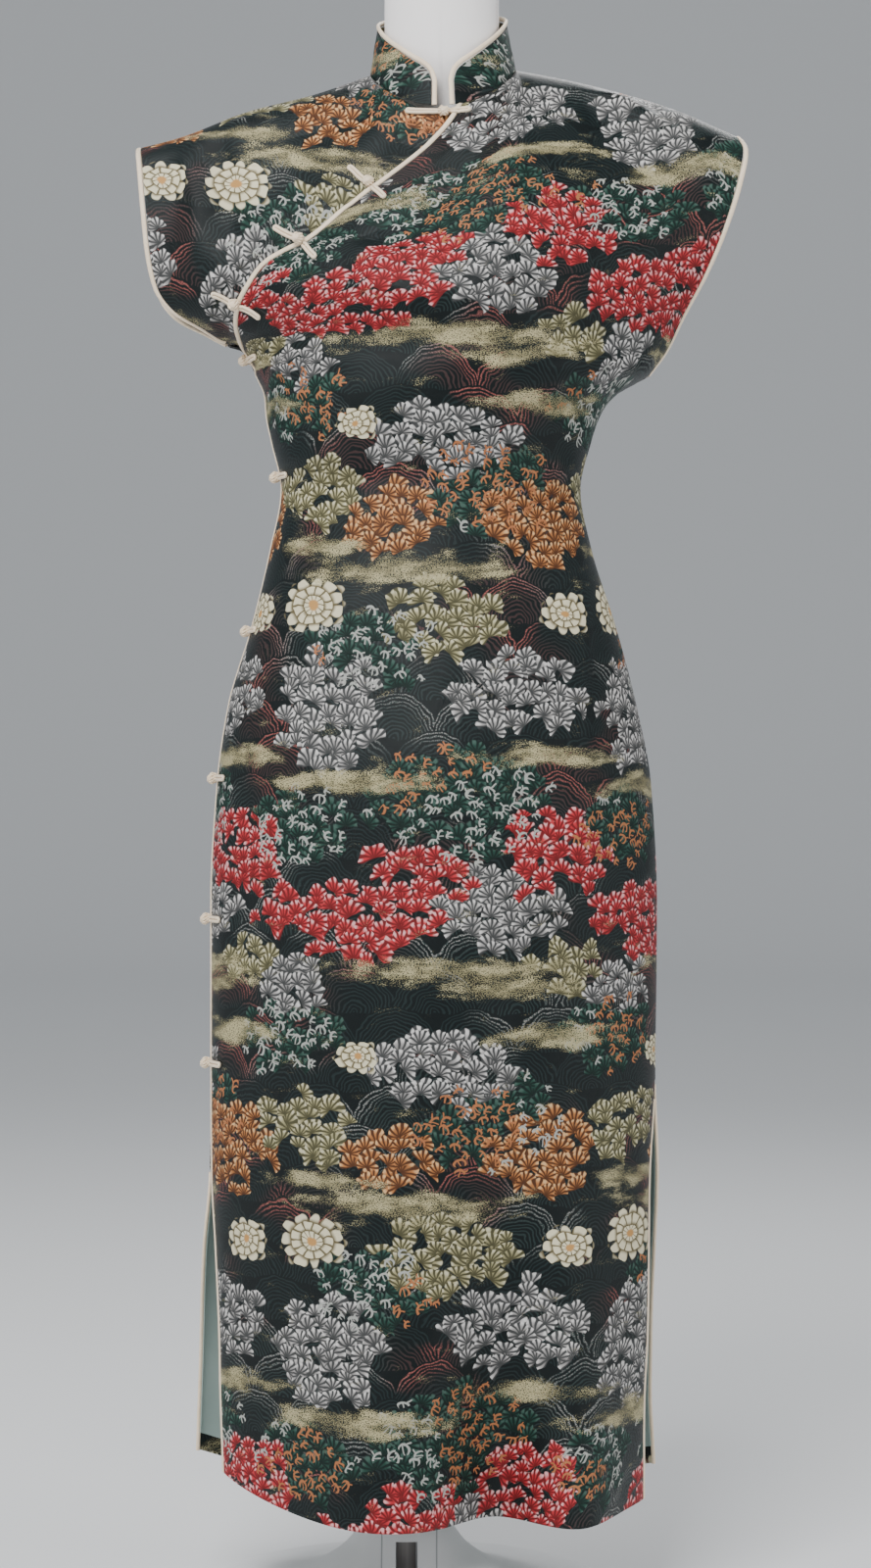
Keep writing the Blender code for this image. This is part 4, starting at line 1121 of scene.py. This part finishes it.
bindings = []
frames = edge_frames(front_faces, all_rows, 0, 2)
bindings.append(bind_edge("piping_front_edge", frames[:-1], "binding_front_edge", "front"))
for edge, faces, rows, column, inward in (
    ("front_right", front_faces, right_slit_rows, FRONT_COLUMNS, -2),
    ("back_left", back_faces, left_slit_rows, 0, 2),
    ("back_right", back_faces, right_slit_rows, BACK_COLUMNS, -2),
):
    frames = edge_frames(faces, rows, column, inward)
    bindings.append(bind_edge("piping_slit_" + edge, frames, "binding_slit_" + edge, edge.split("_")[0]))


def bind_cuff(side, front, back):
    """One strip round the sleeve opening, from underarm to underarm."""
    middle, away, normal = ((a + b) / 2 for a, b in zip(front[-1], back[-1]))
    tip = (middle, away.normalized(), Vector((0.0, 0.0, 1.0)))
    return bind_edge("piping_cuff_" + side, front[:-1] + [tip] + back[-2::-1], "binding_cuff_" + side)


cuff_rows = range(cuff_left_start, len(under_levels))
back_rows = range(LOWER_ROWS + cuff_left_start, len(levels))
for side, front, back in (
    ("left", (under_faces, cuff_rows, 0, 2), (back_faces, back_rows, 0, 2)),
    ("right", (front_faces, upper_rows, FRONT_COLUMNS, -2), (back_faces, upper_rows, BACK_COLUMNS, -2)),
):
    bindings.append(bind_cuff(side, edge_frames(*front), edge_frames(*back)))

collar_path = [(r, 0) for r in range(COLLAR_ROWS)]
collar_path += [(COLLAR_ROWS, c) for c in range(len(collar_angles))]
collar_path += [(r, len(collar_angles) - 1) for r in reversed(range(COLLAR_ROWS))]
middles = [(collar_outer[r][c] + collar_inner[r][c]) / 2 for r, c in collar_path]
frames = []
for i, (r, c) in enumerate(collar_path):
    normal = Vector((math.sin(collar_angles[c]), -math.cos(collar_angles[c]), 0.0))
    run = (middles[min(len(middles) - 1, i + 1)] - middles[max(0, i - 1)]).normalized()
    frames.append((middles[i], run.cross(normal).normalized(), normal))
if frames[len(frames) // 2][1].z < 0.0:
    frames = [(m, -away, n) for m, away, n in frames]
bindings.append(bind_edge("piping_collar", frames, "binding_collar"))

# Frogs: knotted ball buttons and loops of the same cream satin, sewn into
# thin round cords, doubled, and stitched down flat on both sides of the edge.
CORD = 0.00132
Frog = namedtuple("Frog", "name x0 z0 xk zk x1 z1")
FRONT_FROGS = [
    Frog("neck", -0.0225, 1.3850, 0.0066, 1.3815, 0.0265, 1.3850),
    Frog("upper", -0.0670, 1.3368, -0.0512, 1.3222, -0.0392, 1.3088),
    Frog("middle", -0.1243, 1.2905, -0.1040, 1.2778, -0.0919, 1.2640),
    Frog("lower", -0.1740, 1.2425, -0.1546, 1.2335, -0.1365, 1.2227),
]
SIDE_FROGS = [
    ("armhole", 1.1970), ("waist", 1.1040), ("hip_upper", 0.9815),
    ("hip_lower", 0.8647), ("thigh_upper", 0.7530), ("thigh_lower", 0.6385),
]
resting_on = []
for piece in [front_cloth, under_cloth, back_cloth, collar_cloth] + bindings:
    corners = [v.co.copy() for v in piece.data.vertices]
    resting_on.append(BVHTree.FromPolygons(corners, [f.vertices[:] for f in piece.data.polygons]))


def touch(start, way):
    """The first cloth met from a place along a direction."""
    best = None
    for tree in resting_on:
        spot, normal, _, reach = tree.ray_cast(start, way, 2.0)
        if spot is not None and (best is None or reach < best[2]):
            best = (spot, normal if normal.dot(way) < 0.0 else -normal, reach)
    return best


def lay_cord(verts, quads, uvs, line, normals, radius, closed=False, sides=8):
    """Add a round cord along a line."""
    start = len(verts)
    run = 0.0
    for i, p in enumerate(line):
        before = line[i - 1] if i or closed else line[0]
        after = line[(i + 1) % len(line)] if i + 1 < len(line) or closed else line[-1]
        way = (after - before).normalized()
        normal = (normals[i] - way * normals[i].dot(way)).normalized()
        across = way.cross(normal)
        run += (p - line[max(0, i - 1)]).length
        for k in range(sides):
            turn = 2 * math.pi * k / sides
            verts.append(p + (across * math.cos(turn) + normal * math.sin(turn)) * radius)
            uvs.append((k * 0.001, run))
    close_tube(quads, start, len(line), sides, closed)


CORE_RINGS = 9
CORE_AROUND = 12
STRANDS = 5


def knot_ball(verts, quads, uvs, middle, way, normal, radius):
    """A ball button: cords woven over one another round a small core."""
    side = way.cross(normal).normalized()
    first = len(verts)
    for i in range(CORE_RINGS):
        lean = 0.15 + (math.pi - 0.3) * i / (CORE_RINGS - 1)
        for k in range(CORE_AROUND):
            turn = 2 * math.pi * k / CORE_AROUND
            flat = side * math.cos(turn) + normal * math.sin(turn)
            verts.append(middle + (way * math.cos(lean) + flat * math.sin(lean)) * radius * 0.80)
            uvs.append((turn * radius, lean * radius))
    close_tube(quads, first, CORE_RINGS, CORE_AROUND)
    for tip in range(STRANDS):
        swing = math.pi * tip / STRANDS + 0.3
        axis = way * math.cos(swing) + side * math.sin(swing)
        axis = (axis * 0.86 + normal * 0.5).normalized()
        other = axis.orthogonal().normalized()
        across = axis.cross(other).normalized()
        line, normals = [], []
        for k in range(28):
            turn = 2 * math.pi * k / 28
            out = other * math.cos(turn) + across * math.sin(turn)
            weave = 0.0004 * math.sin(5 * turn + tip)
            line.append(middle + out * (radius - CORD * 0.7 + weave))
            normals.append(out)
        lay_cord(verts, quads, uvs, line, normals, CORD * 0.72, True, 6)


def sew_down(verts, quads, uvs, spots, ways):
    """A doubled cord from the knot to its end and back, with its end turned."""
    line, normals = [], []
    count = len(spots)
    for k in range(2 * count):
        i = k if k < count else 2 * count - 1 - k
        sign = 1.0 if k < count else -1.0
        ahead = (spots[min(count - 1, i + 1)] - spots[max(0, i - 1)]).normalized()
        across = ahead.cross(ways[i]).normalized() * sign
        line.append(spots[i] + across * CORD * (0.8 if i == 0 else 1.02))
        normals.append(ways[i])
        if i == count - 1:
            if sign > 0:
                line.append(spots[i] + across * CORD * 0.75 + ahead * CORD * 0.75)
                normals.append(ways[i])
                line.append(spots[i] + ahead * CORD * 1.05)
                normals.append(ways[i])
            else:
                line.insert(-1, spots[i] + across * CORD * 0.75 + ahead * CORD * 0.75)
                normals.append(ways[i])
    lay_cord(verts, quads, uvs, line, normals, CORD)


def place_frog(name, legs, middle, way, normal, nodes, radius=0.0047):
    verts, quads, uvs = [], [], []
    knot_ball(verts, quads, uvs, middle, way, normal, radius)
    for spots, ways in legs:
        sew_down(verts, quads, uvs, spots, ways)
    return own_piece(name, verts, quads, cream_satin, nodes, uvs)


def on_cloth(rays, first_lift=0.9):
    """The middle line of a leg where rays meet the cloth, and the ways out of it."""
    spots, ways = [], []
    for start, way in rays:
        spot, normal, _ = touch(start, way)
        spots.append(spot + normal * CORD * (0.9 if ways else first_lift))
        ways.append(normal)
    for k in range(1, len(spots) - 1):
        spots[k] = (spots[k - 1] + spots[k] * 2 + spots[k + 1]) / 4
    return spots, ways


KNOT_RISE = 0.0036
LEG_END = 0.0014
INWARD = Vector((0.0, 1.0, 0.0))
for frog in FRONT_FROGS:
    spot, normal, _ = touch(Vector((frog.xk + DRESS_X, -1.0, frog.zk - FLOOR_Z)), INWARD)
    middle = spot + normal * KNOT_RISE
    legs = []
    for x1, z1 in ((frog.x0, frog.z0), (frog.x1, frog.z1)):
        whole = math.hypot(x1 - frog.xk, z1 - frog.zk)
        rays = []
        for k in range(9):
            t = (KNOT_RISE + (whole - KNOT_RISE - LEG_END) * k / 8) / whole
            x = frog.xk + (x1 - frog.xk) * t
            z = frog.zk + (z1 - frog.zk) * t + 0.0006 * math.sin(t * 5.0 + frog.xk * 50.0)
            rays.append((Vector((x + DRESS_X, -1.0, z - FLOOR_Z)), INWARD))
        legs.append(on_cloth(rays, 1.6))
    way = legs[0][0][-1] - middle
    way = (way - normal * way.dot(normal)).normalized()
    nodes = [f"frog_{frog.name}_{tag}" for tag in ("knot", "loop", "leg")]
    place_frog("pankou_" + frog.name, legs, middle, way, normal, nodes)

# The ray to a side frog passes just in front of the seam's fine gap.
OFF_SEAM = 0.0012
for name, height in SIDE_FROGS:
    spot, _, _ = touch(Vector((-1.0, -OFF_SEAM, height - FLOOR_Z)), Vector((1.0, 0.0, 0.0)))
    middle = spot + Vector((-0.0038, OFF_SEAM, 0.0))
    aim = spot + Vector((0.024, 0.0, 0.0))
    legs = []
    for sign in (-1.0, 1.0):
        rays = []
        for k in range(10):
            turn = 0.16 + 0.80 * k / 9
            start = aim + Vector((-math.cos(turn), sign * math.sin(turn), 0.0)) * 0.5
            rays.append((start, (aim - start).normalized()))
        legs.append(on_cloth(rays))
    nodes = [f"frog_{name}_{tag}" for tag in ("knot", "front", "back")]
    place_frog("pankou_" + name, legs, middle, INWARD, Vector((-1.0, 0.0, 0.0)), nodes)

# Dress form: a firm limbless padded body under a white knitted cover, with a
# side seam that runs up the neck, and a flat cap on top.
FormRing = namedtuple("FormRing", "z left right front back")
FORM = [FormRing(*row) for row in (
    (0.690, -0.120, 0.118, 0.060, 0.066),
    (0.700, -0.145, 0.142, 0.078, 0.084),
    (0.740, -0.158, 0.155, 0.090, 0.097),
    (0.860, -0.166, 0.164, 0.101, 0.110),
    (0.922, -0.156, 0.152, 0.097, 0.103),
    (0.985, -0.138, 0.136, 0.091, 0.090),
    (1.047, -0.124, 0.117, 0.084, 0.073),
    (1.094, -0.116, 0.109, 0.080, 0.066),
    (1.140, -0.120, 0.116, 0.088, 0.073),
    (1.190, -0.128, 0.126, 0.098, 0.080),
    (1.240, -0.136, 0.140, 0.104, 0.083),
    (1.290, -0.144, 0.154, 0.090, 0.080),
    (1.330, -0.150, 0.162, 0.066, 0.070),
    (1.355, -0.150, 0.162, 0.046, 0.052),
    (1.370, -0.144, 0.156, 0.038, 0.042),
    (1.383, -0.126, 0.138, 0.033, 0.036),
    (1.395, -0.096, 0.108, 0.032, 0.037),
    (1.405, -0.066, 0.078, 0.033, 0.044),
    (1.415, -0.047, 0.059, 0.036, 0.048),
    (1.432, -0.0415, 0.0525, 0.037, 0.052),
    (1.460, -0.0405, 0.0505, 0.037, 0.054),
    (1.500, -0.0405, 0.0505, 0.037, 0.054),
    (1.532, -0.0395, 0.0495, 0.036, 0.053),
    (1.540, -0.0330, 0.0430, 0.030, 0.047),
)]


def knit_cover(name):
    f = Finish(name)
    flat = f.uv("knit")
    place = f.parts(flat)
    rib = f.size(f.sums("SINE", f.times(place[0], math.pi / 0.0011)))
    stitch = f.sums("SINE", f.plus(f.times(place[1], 2 * math.pi / 0.0009), f.times(rib, 2.2)))
    tone = f.blend(f.cloud(flat, 30.0, 3.0), (0.80, 0.77, 0.76), (0.88, 0.86, 0.85))
    from_seam = f.size(place[0])
    seam_groove_and_shade = f.soft(from_seam, 0.0009, 0.0003)
    dash = f.soft(f.wave(place[1], 0.0030), -0.2, 0.3)
    beside = f.soft(f.size(f.minus(from_seam, 0.0022)), 0.0006, 0.0002)
    stitches = f.times(beside, dash)
    # Painted shade: the seam's groove is darkened in the colour as well as sunk in the relief.
    tone = f.blend(f.times(seam_groove_and_shade, 0.6), tone, (0.45, 0.38, 0.36))
    tone = f.blend(f.times(stitches, 0.55), tone, (0.60, 0.42, 0.40))
    f.look(tone, 0.82, 0.3)
    height = f.plus(f.times(f.plus(rib, f.times(stitch, 0.4)), 0.25), f.times(seam_groove_and_shade, -1.0))
    f.relief(f.minus(height, f.times(stitches, 0.6)), 0.0005, 0.5)
    return f.material


keys, *widths = zip(*FORM)
around = 96
heights = [0.690, 0.693, 0.6965] + [0.700 + 0.832 * i / 150 for i in range(151)]
heights += [1.5345, 1.537, 1.5388, 1.540]
verts, quads, uvs = [], [], []
for z in heights:
    left, right, front, back = (through(keys, values, z) for values in widths)
    for k in range(around):
        turn = 2 * math.pi * k / around
        x = (left + right) / 2 + (right - left) / 2 * math.sin(turn)
        y = -(front if math.cos(turn) > 0 else back) * math.cos(turn)
        tilt = NECK_TILT * (x - NECK_X) * ease((z - 1.2) / 0.15)
        verts.append((x + DRESS_X, y, z + tilt - FLOOR_Z))
        uvs.append(((turn - math.radians(74.0)) * 0.048, z))
close_tube(quads, 0, len(heights), around)
own_piece("form_body", verts, quads, knit_cover("knit_cover"), ["dress_form"], uvs, "knit")

# Stand: a round steel pole in a heavy white trumpet foot, turned in one piece,
# with a slot in front of its neck where the pole shows.
BASE_PROFILE = [
    (0.0212, 0.3350), (0.0216, 0.3050), (0.0260, 0.2880), (0.0370, 0.2710),
    (0.0480, 0.2565), (0.0645, 0.2440), (0.0780, 0.2370), (0.1050, 0.2300),
    (0.1350, 0.2260), (0.1600, 0.2220), (0.1670, 0.2180), (0.1680, 0.2070),
    (0.1665, 0.2050),
]


def powder_white(name):
    f = Finish(name)
    place = f.tree.nodes.new("ShaderNodeTexCoord").outputs["Object"]
    spot = f.parts(place)
    tone = f.blend(f.cloud(place, 20.0, 3.0), (0.80, 0.81, 0.82), (0.87, 0.875, 0.88))
    off = f.size(f.minus(f.size(f.minus(spot[0], 0.0028)), 0.0215))
    in_front = f.sums("LESS_THAN", spot[1], 0.0)
    groove_and_shade = f.times(f.soft(off, 0.0008, 0.0003), in_front, f.soft(spot[2], 0.118, 0.11))
    scuff = f.soft(f.cloud(place, 90.0, 4.0, 0.7), 0.62, 0.74)
    tone = f.blend(f.times(scuff, 0.18), tone, (0.55, 0.55, 0.54))
    # Painted shade: two groove lines down the front of the foot are darkened in the colour as well as sunk in
    # the relief.
    tone = f.blend(f.times(groove_and_shade, 0.75), tone, (0.30, 0.31, 0.33))
    f.look(tone, f.plus(0.30, f.times(f.cloud(place, 60.0, 2.0), 0.16)), 0.0, 0.5)
    f.relief(f.minus(f.times(f.cloud(place, 800.0, 2.0), 0.2), groove_and_shade), 0.0006, 0.4)
    return f.material


def brushed_steel(name):
    f = Finish(name)
    place = f.tree.nodes.new("ShaderNodeTexCoord").outputs["Object"]
    drawn = f.cloud(f.vector("MULTIPLY", place, (1.0, 1.0, 0.02)), 900.0, 3.0)
    f.look(f.blend(drawn, (0.50, 0.47, 0.45), (0.74, 0.71, 0.68)), f.plus(0.30, f.times(drawn, 0.16)))
    f.shader.inputs["Metallic"].default_value = 0.5
    f.relief(drawn, 0.0002, 0.3)
    return f.material


BORE = 0.0130
BORE_FLOOR = 0.005
SLOT_PLACE = (0.0008, -0.0455, 0.044)
SLOT_SIZE = (0.0172, 0.070, 0.034)
outline = [(r, z - FLOOR_Z) for r, z in reversed(BASE_PROFILE)]
profile = [outline[0]] + [along(outline[1:], i / 90) for i in range(91)]
profile += [(BORE, outline[-1][1]), (BORE, BORE_FLOOR)]
bpy.ops.object.select_all(action="DESELECT")
bpy.ops.mesh.primitive_circle_add(vertices=112, radius=profile[0][0], fill_type="NGON")
foot = bpy.context.object
foot.name = "trumpet_foot"
bpy.ops.object.mode_set(mode="EDIT")
bpy.ops.mesh.select_all(action="SELECT")
for (r0, z0), (r1, z1) in zip(profile, profile[1:]):
    bpy.ops.mesh.extrude_region_move(TRANSFORM_OT_translate={"value": (0.0, 0.0, z1 - z0)})
    bpy.ops.transform.resize(value=(r1 / r0, r1 / r0, 1.0))
bpy.ops.object.mode_set(mode="OBJECT")
bpy.ops.object.select_all(action="DESELECT")
bpy.ops.mesh.primitive_cube_add(size=1.0, location=SLOT_PLACE)
cutter = bpy.context.object
cutter.dimensions = SLOT_SIZE
bpy.ops.object.transform_apply(location=True, rotation=True, scale=True)
bpy.ops.object.select_all(action="DESELECT")
foot.select_set(True)
bpy.context.view_layer.objects.active = foot
slot_cut = foot.modifiers.new("slot", "BOOLEAN")
slot_cut.object = cutter
slot_cut.operation = "DIFFERENCE"
bpy.ops.object.modifier_apply(modifier="slot")
bpy.data.objects.remove(cutter, do_unlink=True)
bpy.ops.object.mode_set(mode="EDIT")
bpy.ops.mesh.select_all(action="SELECT")
bpy.ops.mesh.normals_make_consistent(inside=False)
bpy.ops.object.mode_set(mode="OBJECT")
foot.data.materials.append(powder_white("powder_white"))
set_out(foot, 32.0, ["stand_base"])

POLE_RADIUS = 0.0125
POLE_LONG = 0.479
POLE_MIDDLE = 0.245
bpy.ops.object.select_all(action="DESELECT")
bpy.ops.mesh.primitive_cylinder_add(
    vertices=64, radius=POLE_RADIUS, depth=POLE_LONG, location=(0.0, 0.0, POLE_MIDDLE),
)
pole = bpy.context.object
pole.name = "steel_pole"
bpy.ops.object.transform_apply(location=True, rotation=True, scale=True)
rounding = pole.modifiers.new("rounding", "BEVEL")
rounding.width = 0.0008
rounding.segments = 2
bpy.ops.object.modifier_apply(modifier="rounding")
pole.data.materials.append(brushed_steel("brushed_steel"))
set_out(pole, 32.0, ["stand_pole"])
